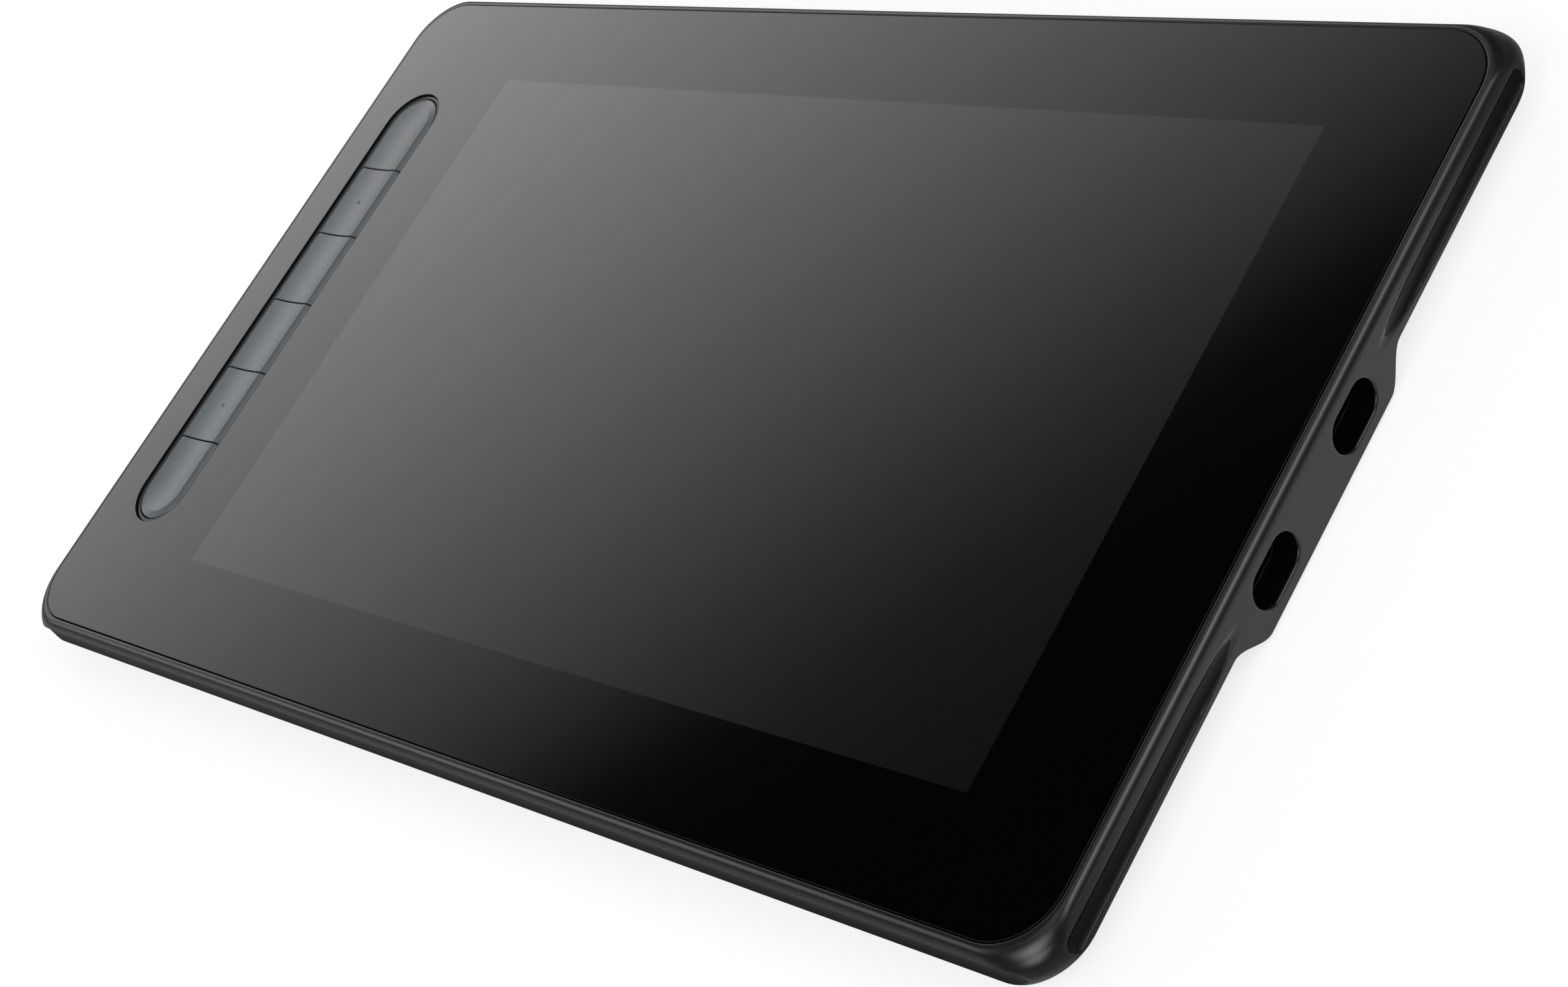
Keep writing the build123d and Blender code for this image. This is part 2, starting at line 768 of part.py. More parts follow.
# Main board with what stands on it
def main_board():
    board = span(board_wide_left, board_wide_right, -board_wide_half, board_wide_half,
                 main_board_top_depth, main_board_bottom_depth)
    board += span(board_wide_right - board_tail_overlap, port_face_x - board_port_gap, -board_tail_half,
                  board_tail_half, main_board_top_depth, main_board_bottom_depth)
    for x, y in board_boss_places():
        board -= disc(screw_radius + screw_clearance, 0, belly_depth, x, y)
    return board


def on_board(length, width, height, x, y_share):
    y = board_wide_half * y_share
    return plate(length, width, main_board_top_depth - height, main_board_top_depth, x, y)


def connector_places():
    """Middle of each board connector, and whether its mouth faces along X."""
    return {
        "panel": (tail_connector_x, flex_spacing / 2, True),
        "sensor": (tail_connector_x, -flex_spacing / 2, True),
        "key": (board_wide_left + connector_length, 0, True),
        "side": (side_flex_x(), board_wide_half - connector_length, False),
    }


def board_connectors():
    pieces = []
    for x, y, along_x in connector_places().values():
        length = connector_length if along_x else connector_width
        width = connector_width if along_x else connector_length
        top = main_board_top_depth - connector_height
        pieces.append(plate(length, width, top, main_board_top_depth, x, y).solid())
    return Compound(pieces)


def receptacle(y):
    middle = (receptacle_x, y, level(port_middle_depth))
    mouth = Plane(origin=middle, x_dir=(0, 1, 0), z_dir=(-1, 0, 0))
    bore_width = receptacle_width - receptacle_wall * 2
    bore_height = receptacle_height - receptacle_wall * 2
    shell = extrude(mouth * SlotOverall(receptacle_width, receptacle_height), receptacle_length)
    shell -= extrude(mouth * SlotOverall(bore_width, bore_height), receptacle_length - receptacle_back)
    back_x = receptacle_x - receptacle_length + receptacle_back
    back = Plane(origin=(back_x, y, level(port_middle_depth)), x_dir=(0, 1, 0), z_dir=(1, 0, 0))
    return shell + extrude(back * Rectangle(tongue_width, tongue_thickness), tongue_length)


# Flat flexes: straight legs between points, each leg overlapping the next by its thickness
def ribbon(points, along_x, middle):
    legs = None
    for (a, a_depth), (b, b_depth) in zip(points, points[1:]):
        low, high = min(a, b) - flex_thickness / 2, max(a, b) + flex_thickness / 2
        top, bottom = min(a_depth, b_depth) - flex_thickness / 2, max(a_depth, b_depth) + flex_thickness / 2
        near, far = middle - flex_width / 2, middle + flex_width / 2
        limits = (low, high, near, far) if along_x else (near, far, low, high)
        leg = span(*limits, top, bottom)
        legs = leg if legs is None else legs + leg
    return legs


def edge_flex(name, start_depth):
    """From the right edge of the stack, down beside it and back to its connector."""
    x, y, along_x = connector_places()[name]
    edge = screen_x + lcd_length / 2 + flex_thickness / 2
    turn = edge + flex_stand - flex_thickness
    low = main_board_top_depth - connector_height / 2
    points = ((edge, start_depth), (turn, start_depth), (turn, low),
              (x + connector_length / 2 + flex_thickness / 2, low))
    return ribbon(points, along_x, y)


def under_flex(name, start):
    """Along the underside of the shield plate, then down to its connector."""
    x, y, along_x = connector_places()[name]
    depth = shield_bottom_depth + flex_thickness / 2
    place, across = (x, y) if along_x else (y, x)
    direction = 1 if start > place else -1
    stop = place + direction * (connector_length / 2 + flex_thickness / 2)
    low = main_board_top_depth - connector_height / 2
    return ribbon(((start, depth), (stop, depth), (stop, low)), along_x, across)


# Screws with a cross recess in the head
def screw(x, y, head_depth, head_height, length, down):
    """Head at head_depth; the shank points down into the part, or up where down is False."""
    if down:
        body = disc(screw_head_radius, head_depth, head_depth + head_height, x, y)
        body += disc(screw_radius, head_depth + head_height, head_depth + head_height + length, x, y)
        slot_top, slot_bottom = head_depth - overrun, head_depth + drive_slot_depth
    else:
        body = disc(screw_head_radius, head_depth - head_height, head_depth, x, y)
        body += disc(screw_radius, head_depth - head_height - length, head_depth - head_height, x, y)
        slot_top, slot_bottom = head_depth - drive_slot_depth, head_depth + overrun
    body -= plate(screw_head_radius, drive_slot_width, slot_top, slot_bottom, x, y)
    body -= plate(drive_slot_width, screw_head_radius, slot_top, slot_bottom, x, y)
    return body.solid()


def housing_screws():
    depth = rim_depth - screw_head_recess
    return Compound([screw(x, y, depth, screw_head_height, screw_length, False) for x, y in screw_places()])


def board_screws():
    depth = main_board_top_depth - board_screw_head_height
    return Compound([screw(x, y, depth, board_screw_head_height, board_screw_length, True)
                     for x, y in board_boss_places()])


def rubber_foot(x, y):
    foot = foot_plate(foot_length, foot_width, belly_depth - foot_pocket, total_height, x, y)
    return fillet(foot.faces().sort_by(Axis.Z)[0].edges(), foot_edge_fillet)


save("rear_housing", rear_housing())
save("carrier_frame", carrier_frame())
save("cover_glass", cover_glass())
save("border_film", border_film())
save("glass_adhesive", glass_adhesive())
save("optical_bond", optical_bond())
save("lcd_panel", stack_sheet(lcd_top_depth, lcd_bottom_depth))
save("diffuser_sheet", tray_sheet(lcd_bottom_depth, diffuser_bottom_depth))
save("light_guide", tray_sheet(diffuser_bottom_depth, guide_bottom_depth, led_bar_width + led_gap))
save("led_bar", led_bar())
save("reflector_sheet", tray_sheet(guide_bottom_depth, reflector_bottom_depth))
save("backlight_tray", backlight_tray())
save("sensor_board", stack_sheet(tray_bottom_depth, sensor_bottom_depth))
save("shield_plate", stack_sheet(sensor_bottom_depth, shield_bottom_depth))
save("support_foam", support_foam())
save("main_board", main_board())
save("controller_chip", on_board(chip_size, chip_size, chip_height, chip_x, chip_y_share))
save("video_chip", on_board(video_chip_size, video_chip_size, video_chip_height, can_x, video_chip_y_share))
save("shield_can", on_board(can_length, can_width, can_height, can_x, can_y_share))
save("board_connectors", board_connectors())
for name, y in port_places.items():
    save(name, receptacle(y))
save("panel_flex", edge_flex("panel", (lcd_top_depth + lcd_bottom_depth) / 2))
save("sensor_flex", edge_flex("sensor", (tray_bottom_depth + sensor_bottom_depth) / 2))
save("key_flex", under_flex("key", key_x + key_board_width / 2 + flex_thickness / 2))
save("side_flex", under_flex("side", side_board_y - side_board_depth - flex_thickness / 2))
save("key_frame", key_frame())
save("key_board", plate(key_board_width, key_board_length, small_board_top_depth, floor_depth, key_x))
save("key_switches", key_switches())
whole_strip = key_strip()
for number in range(1, key_count + 1):
    save(f"shortcut_key_{number}", shortcut_key(whole_strip, number))
save("side_board", side_board())
save("side_switches", side_switches())
for name, x in side_key_places.items():
    save(name, side_key(x))
for name, (x, y) in foot_places().items():
    save(name, rubber_foot(x, y))
save("housing_screws", housing_screws())
save("board_screws", board_screws())
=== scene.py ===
"""Pen display with a strip of shortcut keys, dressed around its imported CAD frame.

Lengths in this file are millimetres until a mesh is finished, when they become metres.
Depths are counted down from the top of the cover glass.
"""

import json
import logging
import math
from dataclasses import dataclass
from enum import Enum
from typing import Any, Callable, Union

import bmesh
import bpy
from mathutils import Matrix, Quaternion, Vector

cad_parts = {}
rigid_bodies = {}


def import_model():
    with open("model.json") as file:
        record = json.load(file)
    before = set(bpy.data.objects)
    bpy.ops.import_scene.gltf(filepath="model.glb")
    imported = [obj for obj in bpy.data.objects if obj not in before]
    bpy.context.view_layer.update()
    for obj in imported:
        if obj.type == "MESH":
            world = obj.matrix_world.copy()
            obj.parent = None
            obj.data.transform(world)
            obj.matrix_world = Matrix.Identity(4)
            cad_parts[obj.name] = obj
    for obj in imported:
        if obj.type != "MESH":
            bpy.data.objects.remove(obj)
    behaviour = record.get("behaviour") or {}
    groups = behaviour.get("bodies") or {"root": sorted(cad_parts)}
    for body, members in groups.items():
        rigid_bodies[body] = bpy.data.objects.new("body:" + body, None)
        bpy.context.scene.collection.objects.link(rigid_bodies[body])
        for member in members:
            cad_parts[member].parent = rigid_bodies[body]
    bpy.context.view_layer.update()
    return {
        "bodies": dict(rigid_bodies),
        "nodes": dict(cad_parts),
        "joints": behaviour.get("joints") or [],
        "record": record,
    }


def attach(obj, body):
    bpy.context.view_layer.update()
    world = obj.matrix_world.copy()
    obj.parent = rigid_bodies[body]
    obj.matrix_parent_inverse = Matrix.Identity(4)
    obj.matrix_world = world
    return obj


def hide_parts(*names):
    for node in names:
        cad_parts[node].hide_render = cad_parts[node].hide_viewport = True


LOG = logging.getLogger("pen_display")
METRES = 0.001
BODY = "tablet"

WELD = 1e-4  # points nearer than this become one
CUT_TOLERANCE = 1e-5  # points nearer than this to a cutting plane count as on it
NORMAL_WEIGHT = 60  # how much the larger faces count in the shading normals
PILL_FLAT = 0.01  # what a pill's corner lacks to half its width, so that its ends keep a short flat

Colour = tuple[float, float, float]
Pair = tuple[float, float]
Ring = list[bmesh.types.BMVert]
Placer = Callable[["Station"], Vector]
Value = Union[bpy.types.NodeSocket, float]
Tone = Union[bpy.types.NodeSocket, Colour]

# Turns for outlines that are stacked along Y towards the far side, and along X towards the right end
TO_FAR_SIDE = Matrix.Rotation(math.radians(90), 4, "X")
TO_RIGHT_END = Matrix(((0, 0, 1, 0), (1, 0, 0, 0), (0, 1, 0, 0), (0, 0, 0, 1)))


# Sizes that several sub-assemblies share
@dataclass(frozen=True)
class Layout:
    """Driving sizes of the display, as the CAD source has them."""

    total_height: float = 13.7
    glass_length: float = 293.4
    glass_width: float = 167.2
    glass_corner: float = 11.3
    glass_thickness: float = 1.1
    glass_gap: float = 0.2
    rim_width: float = 2.2
    screen_length: float = 224.0
    screen_width: float = 126.0
    screen_x: float = 9.3
    key_x: float = -128.0
    key_hole_length: float = 115.5
    key_hole_width: float = 17.2
    side_key_depth: float = 4.7
    scoop_floor_y: float = 85.275

    @property
    def facet_x(self) -> float:
        """Distance of the flat end facets from the middle."""
        return self.glass_length / 2 + self.rim_width

    @property
    def side_y(self) -> float:
        """Distance of the long sides' nominal plane from the middle."""
        return self.glass_width / 2 + self.rim_width

    def level(self, depth: float) -> float:
        """Height of a plane at a depth under the top of the glass."""
        return self.total_height - depth


LAYOUT = Layout()


# Small formulas
def smooth_min(first: float, second: float, blend: float) -> float:
    """The lesser of two values, with a rounded change from one to the other."""
    spread = max(blend - abs(first - second), 0.0)
    return min(first, second) - spread * spread / (4.0 * blend)


def smooth_max(first: float, second: float, blend: float) -> float:
    """The greater of two values, with a rounded change from one to the other."""
    return -smooth_min(-first, -second, blend)


def clamped(share: float) -> float:
    """A share held between 0 and 1."""
    return min(max(share, 0.0), 1.0)


def ease(share: float) -> float:
    """S shaped rise from 0 to 1."""
    share = clamped(share)
    return share * share * (3.0 - 2.0 * share)


def chord_radius(chord: float, sag: float) -> float:
    """Radius of the arc that spans a chord with the given sag."""
    return (chord * chord / 4.0 + sag * sag) / (2.0 * sag)


def divided(*spans: tuple[float, float, int]) -> tuple[float, ...]:
    """Values that divide spans evenly.

    Args:
        spans: Start, stop and number of parts of each span.

    Returns:
        The values in order, with the end of the last span.
    """
    values = [start + (stop - start) * index / count
              for start, stop, count in spans for index in range(count)]
    return (*values, spans[-1][1])


# Outlines and the rings of points that follow them
class Run(Enum):
    """Which stretch of a quarter outline a station is on."""

    END = "end"
    ARC = "arc"
    LONG = "long"


@dataclass(frozen=True)
class Station:
    """One place on an outline, the same on every ring of a piece.

    A fixed station keeps its distance from the middle, and a free one is a share of the way
    from the last fixed one to the corner.
    """

    run: Run
    value: float
    free: bool
    along: int
    across: int


@dataclass(frozen=True)
class Outline:
    """Rounded rectangle at one depth, given by its size, corner radius and middle."""

    length: float
    width: float
    corner: float
    depth: float
    middle_x: float = 0.0
    middle_y: float = 0.0


def around_glass(outset: float, corner: float, depth: float) -> Outline:
    """Outline that stands out of the glass's own by an outset."""
    return Outline(LAYOUT.glass_length + outset * 2, LAYOUT.glass_width + outset * 2, corner, depth)


def pill(length: float, width: float, depth: float, x: float = 0.0, y: float = 0.0) -> Outline:
    """Outline with round ends, given by its size, depth and middle."""
    return Outline(length, width, width / 2 - PILL_FLAT, depth, x, y)


@dataclass(frozen=True)
class StationPlan:
    """How finely each stretch of a quarter outline is divided."""

    end_fixed: tuple[float, ...] = (0.0,)
    end_free: int = 0
    arc: tuple[float, ...] = ()
    long_free: int = 0
    long_fixed: tuple[float, ...] = (0.0,)

    def quarter(self) -> list[tuple[Run, float, bool]]:
        """Stations of the first quarter, from the end's middle to the long side's middle.

        Returns:
            Stretch, value and freedom of each station.
        """
        places = [(Run.END, value, False) for value in self.end_fixed]
        places += [(Run.END, (i + 1) / (self.end_free + 1), True) for i in range(self.end_free)]
        places += [(Run.ARC, angle, False) for angle in self.arc]
        places += [(Run.LONG, 1.0 - (i + 1) / (self.long_free + 1), True) for i in range(self.long_free)]
        places += [(Run.LONG, value, False) for value in reversed(self.long_fixed)]
        return places

    def stations(self) -> list[Station]:
        """All stations once round.

        Returns:
            The stations, counter-clockwise from the right end's middle.
        """
        quarter = self.quarter()
        quarters = (
            (1, 1, quarter),
            (-1, 1, quarter[::-1][1:]),
            (-1, -1, quarter[1:]),
            (1, -1, quarter[::-1][1:-1]),
        )
        return [Station(*place, along, across) for along, across, places in quarters for place in places]

    def place(self, station: Station, outline: Outline) -> Vector:
        """Point of an outline at a station.

        Args:
            station: The station.
            outline: The outline that it is put on.

        Returns:
            The point, in millimetres.
        """
        half_x, half_y = outline.length / 2, outline.width / 2
        arc_x, arc_y = half_x - outline.corner, half_y - outline.corner
        if station.run is Run.ARC:
            angle = math.radians(station.value)
            x = arc_x + outline.corner * math.cos(angle)
            y = arc_y + outline.corner * math.sin(angle)
        elif station.run is Run.END:
            last = self.end_fixed[-1]
            x = half_x
            y = last + (arc_y - last) * station.value if station.free else station.value
        else:
            last = self.long_fixed[-1]
            x = last + (arc_x - last) * station.value if station.free else station.value
            y = half_y
        return Vector((outline.middle_x + station.along * x, outline.middle_y + station.across * y,
                       LAYOUT.level(outline.depth)))

    def placer(self, outline: Outline) -> Placer:
        """Function that gives the outline's point for a station."""
        return lambda station: self.place(station, outline)


PLAIN_PLAN = StationPlan(arc=divided((0.0, 90.0, 20)))
PILL_ARC = divided((0.0, 90.0, 16))


def add_object(name: str, data: bpy.types.ID) -> bpy.types.Object:
    """Makes an object and links it to the scene.

    Args:
        name: The object's name.
        data: Its mesh or camera data.

    Returns:
        The new object.
    """
    made = bpy.data.objects.new(name, data)
    bpy.context.scene.collection.objects.link(made)
    return made


def store_mesh(name: str, shape: bmesh.types.BMesh) -> bpy.types.Mesh:
    """Stores a finished shape as mesh data and frees it.

    Args:
        name: The mesh's name.
        shape: The shape.

    Returns:
        The mesh.
    """
    mesh = bpy.data.meshes.new(name)
    shape.to_mesh(mesh)
    shape.free()
    return mesh


class Sculptor:
    """Holds one piece's mesh while bmesh operators shape it."""

    def __init__(self, plan: StationPlan = PLAIN_PLAN) -> None:
        """Starts an empty mesh.

        Args:
            plan: The station plan that its rings follow.
        """
        self.mesh = bmesh.new()
        self.plan = plan
        self.stations = plan.stations()

    def first_ring(self, place: Placer) -> Ring:
        """Makes a circle of points and puts each one in its place.

        Args:
            place: Gives the point for a station.

        Returns:
            The ring.
        """
        made = bmesh.ops.create_circle(self.mesh, cap_ends=False, segments=len(self.stations), radius=1.0)
        ring = list(made["verts"])
        for vert, station in zip(ring, self.stations):
            vert.co = place(station)
        return ring

    def next_ring(self, ring: Ring, place: Placer) -> Ring:
        """Extrudes a ring and puts the new points in their places.

        Args:
            ring: The ring to go on from.
            place: Gives the point for a station.

        Returns:
            The new ring, in the same order.
        """
        members = set(ring)
        edges = [edge for edge in {e for v in ring for e in v.link_edges}
                 if edge.verts[0] in members and edge.verts[1] in members]
        made = bmesh.ops.extrude_edge_only(self.mesh, edges=edges)["geom"]
        fresh = {item for item in made if isinstance(item, bmesh.types.BMVert)}
        new_ring = []
        for vert in ring:
            new_ring.append(next(e.other_vert(vert) for e in vert.link_edges if e.other_vert(vert) in fresh))
        for vert, station in zip(new_ring, self.stations):
            vert.co = place(station)
        return new_ring

    def along(self, outlines: list[Outline], cap_start: bool = True, cap_end: bool = True) -> None:
        """Skins a row of outlines and caps its ends."""
        self.along_places([self.plan.placer(outline) for outline in outlines], cap_start, cap_end)

    def along_places(self, placers: list[Placer], cap_start: bool = True, cap_end: bool = True) -> None:
        """Skins rings whose points come from formulas, and caps the ends.

        Args:
            placers: What places each ring, in order.
            cap_start: Whether the first ring is closed with a face.
            cap_end: Whether the last ring is closed with a face.
        """
        start = ring = self.first_ring(placers[0])
        for place in placers[1:]:
            ring = self.next_ring(ring, place)
        if cap_start:
            self.cap(start)
        if cap_end:
            self.cap(ring)

    def cap(self, ring: Ring) -> None:
        """Closes a ring with one flat face."""
        bmesh.ops.contextual_create(self.mesh, geom=ring)

    def stack(self, outlines: list[Outline], place: tuple[float, float, float], turn: Matrix) -> None:
        """Skins outlines as a separate closed shape that is stacked along another axis.

        Args:
            outlines: The outlines, whose depths become distances along the new axis.
            place: Where their middle line starts.
            turn: The turn to the new axis.
        """
        before = set(self.mesh.verts)
        self.along(outlines)
        fresh = [vert for vert in self.mesh.verts if vert not in before]
        matrix = Matrix.Translation(place) @ turn @ Matrix.Translation((0, 0, -LAYOUT.level(0)))
        bmesh.ops.transform(self.mesh, matrix=matrix, verts=fresh)

    def box(self, x: Pair, y: Pair, depths: Pair) -> None:
        """Adds a box.

        Args:
            x: Its limits along X.
            y: Its limits along Y.
            depths: The depths of its top and its bottom.
        """
        size = Vector((x[1] - x[0], y[1] - y[0], depths[1] - depths[0]))
        middle = Vector(((x[0] + x[1]) / 2, (y[0] + y[1]) / 2, LAYOUT.level((depths[0] + depths[1]) / 2)))
        bmesh.ops.create_cube(self.mesh, size=1.0, matrix=Matrix.LocRotScale(middle, None, size))

    def post(self, radius: float, height: float, segments: int, matrix: Matrix) -> None:
        """Adds a round post.

        Args:
            radius: Its radius.
            height: Its height.
            segments: How many faces go round it.
            matrix: Its place and turn.
        """
        bmesh.ops.create_cone(self.mesh, cap_ends=True, cap_tris=False, segments=segments, radius1=radius,
                              radius2=radius, depth=height, matrix=matrix)

    def seal(self) -> None:
        """Welds points that meet and points the faces outwards."""
        bmesh.ops.remove_doubles(self.mesh, verts=self.mesh.verts, dist=WELD)
        bmesh.ops.recalc_face_normals(self.mesh, faces=self.mesh.faces)

    def finish(self, name: str, material: bpy.types.Material | None = None) -> bpy.types.Object:
        """Closes the work: seals the shape, scales it to metres and makes the object.

        Args:
            name: The object's name.
            material: Its finish.

        Returns:
            The new object, at the origin.
        """
        self.seal()
        bmesh.ops.scale(self.mesh, vec=(METRES, METRES, METRES), verts=self.mesh.verts)
        piece = add_object(name, store_mesh(name, self.mesh))
        if material:
            piece.data.materials.append(material)
        return piece


class Merge(Enum):
    """What a tool does to a piece, by Blender's own names."""

    ADD = "UNION"
    CUT = "DIFFERENCE"


def combine(piece: bpy.types.Object, tool: bpy.types.Object, merge: Merge) -> None:
    """Joins a tool to a piece or cuts the piece with it, and removes the tool.

    Args:
        piece: The object that changes.
        tool: The closed shape to add or to cut with.
        merge: Whether it adds or cuts.
    """
    boolean = piece.modifiers.new("combine", "BOOLEAN")
    boolean.operation = merge.value
    boolean.solver = "EXACT"
    boolean.object = tool
    bpy.context.view_layer.update()
    evaluated = piece.evaluated_get(bpy.context.evaluated_depsgraph_get())
    mesh = bpy.data.meshes.new_from_object(evaluated)
    piece.modifiers.clear()
    old = piece.data
    piece.data = mesh
    mesh.name = old.name
    bpy.data.meshes.remove(old)
    bpy.data.objects.remove(tool)


def soften(piece: bpy.types.Object, angle: float) -> None:
    """Shades a piece smooth, with creases, and lets its normals follow the larger faces.

    Args:
        piece: The object.
        angle: Angle in degrees over which an edge stays a crease.
    """
    for polygon in piece.data.polygons:
        polygon.use_smooth = True
    piece.data.set_sharp_from_angle(angle=math.radians(angle))
    weighted = piece.modifiers.new("face_weighting", "WEIGHTED_NORMAL")
    weighted.keep_sharp = True
    weighted.weight = NORMAL_WEIGHT


def hand_over(piece: bpy.types.Object, body: str, slot: str, *nodes: str) -> None:
    """Rides a piece on its body, lets it stand for CAD nodes, and reports it.

    Args:
        piece: The finished piece.
        body: The body that it moves with.
        slot: Its material slot in the record; not used.
        nodes: The CAD nodes that it replaces.
    """
    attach(piece, body)
    if nodes:
        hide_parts(*nodes)
    LOG.info("%s: %d faces on %s for %s", piece.name, len(piece.data.polygons), body, ", ".join(nodes))


# Node trees
def feed(tree: bpy.types.NodeTree, source: Value | tuple[float, ...], target: bpy.types.NodeSocket) -> None:
    """Links a socket to a target, or sets the target to a plain value.

    Args:
        tree: The node tree.
        source: A socket, a number or a colour with alpha.
        target: The socket that takes it.
    """
    if isinstance(source, bpy.types.NodeSocket):
        tree.links.new(source, target)
    else:
        target.default_value = source


def add_math(tree: bpy.types.NodeTree, operation: str, first: Value, second: Value | None = None,
             clamp: bool = False) -> bpy.types.NodeSocket:
    """Adds a Math node to a tree.

    Args:
        tree: The node tree.
        operation: Blender's name for the operation.
        first: A socket or a number.
        second: A socket or a number, if the operation takes one.
        clamp: Whether the result is held between 0 and 1.

    Returns:
        The result's socket.
    """
    node = tree.nodes.new("ShaderNodeMath")
    node.operation = operation
    node.use_clamp = clamp
    feed(tree, first, node.inputs[0])
    if second is not None:
        feed(tree, second, node.inputs[1])
    return node.outputs[0]


def object_axes(tree: bpy.types.NodeTree) -> tuple[bpy.types.NodeSocket, bpy.types.NodeSocket]:
    """Adds Object coordinates to a tree, in metres.

    Args:
        tree: The node tree.

    Returns:
        The sockets of X and of Y.
    """
    parts = tree.nodes.new("ShaderNodeSeparateXYZ")
    tree.links.new(tree.nodes.new("ShaderNodeTexCoord").outputs["Object"], parts.inputs["Vector"])
    return parts.outputs["X"], parts.outputs["Y"]


def bare_material(name: str) -> tuple[bpy.types.Material, bpy.types.NodeSocket]:
    """Makes a material with nothing but its output.

    Args:
        name: The material's name.

    Returns:
        The material and its output's surface socket.
    """
    material = bpy.data.materials.new(name)
    material.use_nodes = True
    material.node_tree.nodes.clear()
    output = material.node_tree.nodes.new("ShaderNodeOutputMaterial")
    return material, output.inputs["Surface"]


# Node groups: effects that several finishes share
FINE_SHARE = 0.65  # part of the fine noise in a grain
COARSE_SCALE = 0.37  # scale of the coarse noise over that of the fine one
FLAT_POINTINESS = 0.53  # pointiness up to which a surface counts as flat
BREAKUP_GAIN = 1.4
SMEAR_MIDDLE = 0.5
STREAK_STRETCH = (0.02, 1.0, 1.0)
TRACK_BANDS = 4.0
TRACK_FOLD = 0.5
TRACK_EDGE = 0.3


class Effect:
    """A shader node group under construction, with its named sockets."""

    def __init__(self, name: str, inputs: dict[str, float], outputs: tuple[str, ...]) -> None:
        """Makes the group with number inputs and number outputs.

        Args:
            name: The group's name.
            inputs: Label and first value of each input.
            outputs: Label of each output.
        """
        self.tree = bpy.data.node_groups.new(name, "ShaderNodeTree")
        for label, value in inputs.items():
            socket = self.tree.interface.new_socket(label, in_out="INPUT", socket_type="NodeSocketFloat")
            socket.default_value = value
        for label in outputs:
            self.tree.interface.new_socket(label, in_out="OUTPUT", socket_type="NodeSocketFloat")
        self.inputs = self.tree.nodes.new("NodeGroupInput").outputs
        self.outputs = self.tree.nodes.new("NodeGroupOutput").inputs
        self.where = self.tree.nodes.new("ShaderNodeTexCoord").outputs["Object"]

    def link(self, source: bpy.types.NodeSocket, target: bpy.types.NodeSocket) -> None:
        """Joins two sockets."""
        self.tree.links.new(source, target)

    def math(self, operation: str, first: Value, second: Value | None = None,
             clamp: bool = False) -> bpy.types.NodeSocket:
        """Adds a Math node between sockets or numbers."""
        return add_math(self.tree, operation, first, second, clamp)

    def noise(self, scale: Value, detail: float, roughness: float = 0.5) -> bpy.types.NodeSocket:
        """Adds a noise pattern in Object coordinates.

        Args:
            scale: Its scale, as a socket or a number.
            detail: How many octaves it has.
            roughness: How much the finer octaves count.

        Returns:
            The socket of its value.
        """
        node = self.tree.nodes.new("ShaderNodeTexNoise")
        node.inputs["Detail"].default_value = detail
        node.inputs["Roughness"].default_value = roughness
        self.link(self.where, node.inputs["Vector"])
        feed(self.tree, scale, node.inputs["Scale"])
        return node.outputs["Fac"]


def moulded_grain() -> bpy.types.NodeTree:
    """Fine spark-eroded grain of a moulding tool: a height, and a slow drift of tone.

    Returns:
        The node group.
    """
    effect = Effect("moulded_grain", {"Grain Scale": 2600.0, "Drift Scale": 22.0}, ("Height", "Drift"))
    fine = effect.noise(effect.inputs["Grain Scale"], detail=3.0, roughness=0.6)
    coarse = effect.noise(effect.math("MULTIPLY", effect.inputs["Grain Scale"], COARSE_SCALE), detail=2.0)
    both = effect.math("ADD", effect.math("MULTIPLY", fine, FINE_SHARE),
                       effect.math("MULTIPLY", coarse, 1.0 - FINE_SHARE))
    effect.link(both, effect.outputs["Height"])
    effect.link(effect.noise(effect.inputs["Drift Scale"], detail=3.0), effect.outputs["Drift"])
    return effect.tree


def edge_wear() -> bpy.types.NodeTree:
    """Mask of the edges that hands and desks polish, broken up by noise.

    Returns:
        The node group.
    """
    effect = Effect("edge_wear", {"Sharpness": 9.0, "Breakup Scale": 160.0}, ("Mask",))
    pointed = effect.tree.nodes.new("ShaderNodeNewGeometry").outputs["Pointiness"]
    raised = effect.math("MULTIPLY", effect.math("SUBTRACT", pointed, FLAT_POINTINESS),
                         effect.inputs["Sharpness"], clamp=True)
    broken = effect.math("MULTIPLY", effect.noise(effect.inputs["Breakup Scale"], detail=4.0), BREAKUP_GAIN,
                         clamp=True)
    effect.link(effect.math("MULTIPLY", raised, broken, clamp=True), effect.outputs["Mask"])
    return effect.tree


def handling() -> bpy.types.NodeTree:
    """Faint smears of handling, as a change of roughness.

    Returns:
        The node group.
    """
    effect = Effect("handling", {"Smear Scale": 14.0, "Amount": 0.05}, ("Roughness Change",))
    smear = effect.noise(effect.inputs["Smear Scale"], detail=5.0, roughness=0.62)
    change = effect.math("MULTIPLY", effect.math("SUBTRACT", smear, SMEAR_MIDDLE), effect.inputs["Amount"])
    effect.link(change, effect.outputs["Roughness Change"])
    return effect.tree


def drawn_streaks() -> bpy.types.NodeTree:
    """Streaks of rolled or drawn metal along X.

    Returns:
        The node group.
    """
    effect = Effect("drawn_streaks", {"Streak Scale": 900.0}, ("Height",))
    mapping = effect.tree.nodes.new("ShaderNodeMapping")
    mapping.inputs["Scale"].default_value = STREAK_STRETCH
    effect.link(effect.where, mapping.inputs["Vector"])
    node = effect.tree.nodes.new("ShaderNodeTexNoise")
    node.inputs["Detail"].default_value = 2.0
    effect.link(mapping.outputs["Vector"], node.inputs["Vector"])
    effect.link(effect.inputs["Streak Scale"], node.inputs["Scale"])
    effect.link(node.outputs["Fac"], effect.outputs["Height"])
    return effect.tree


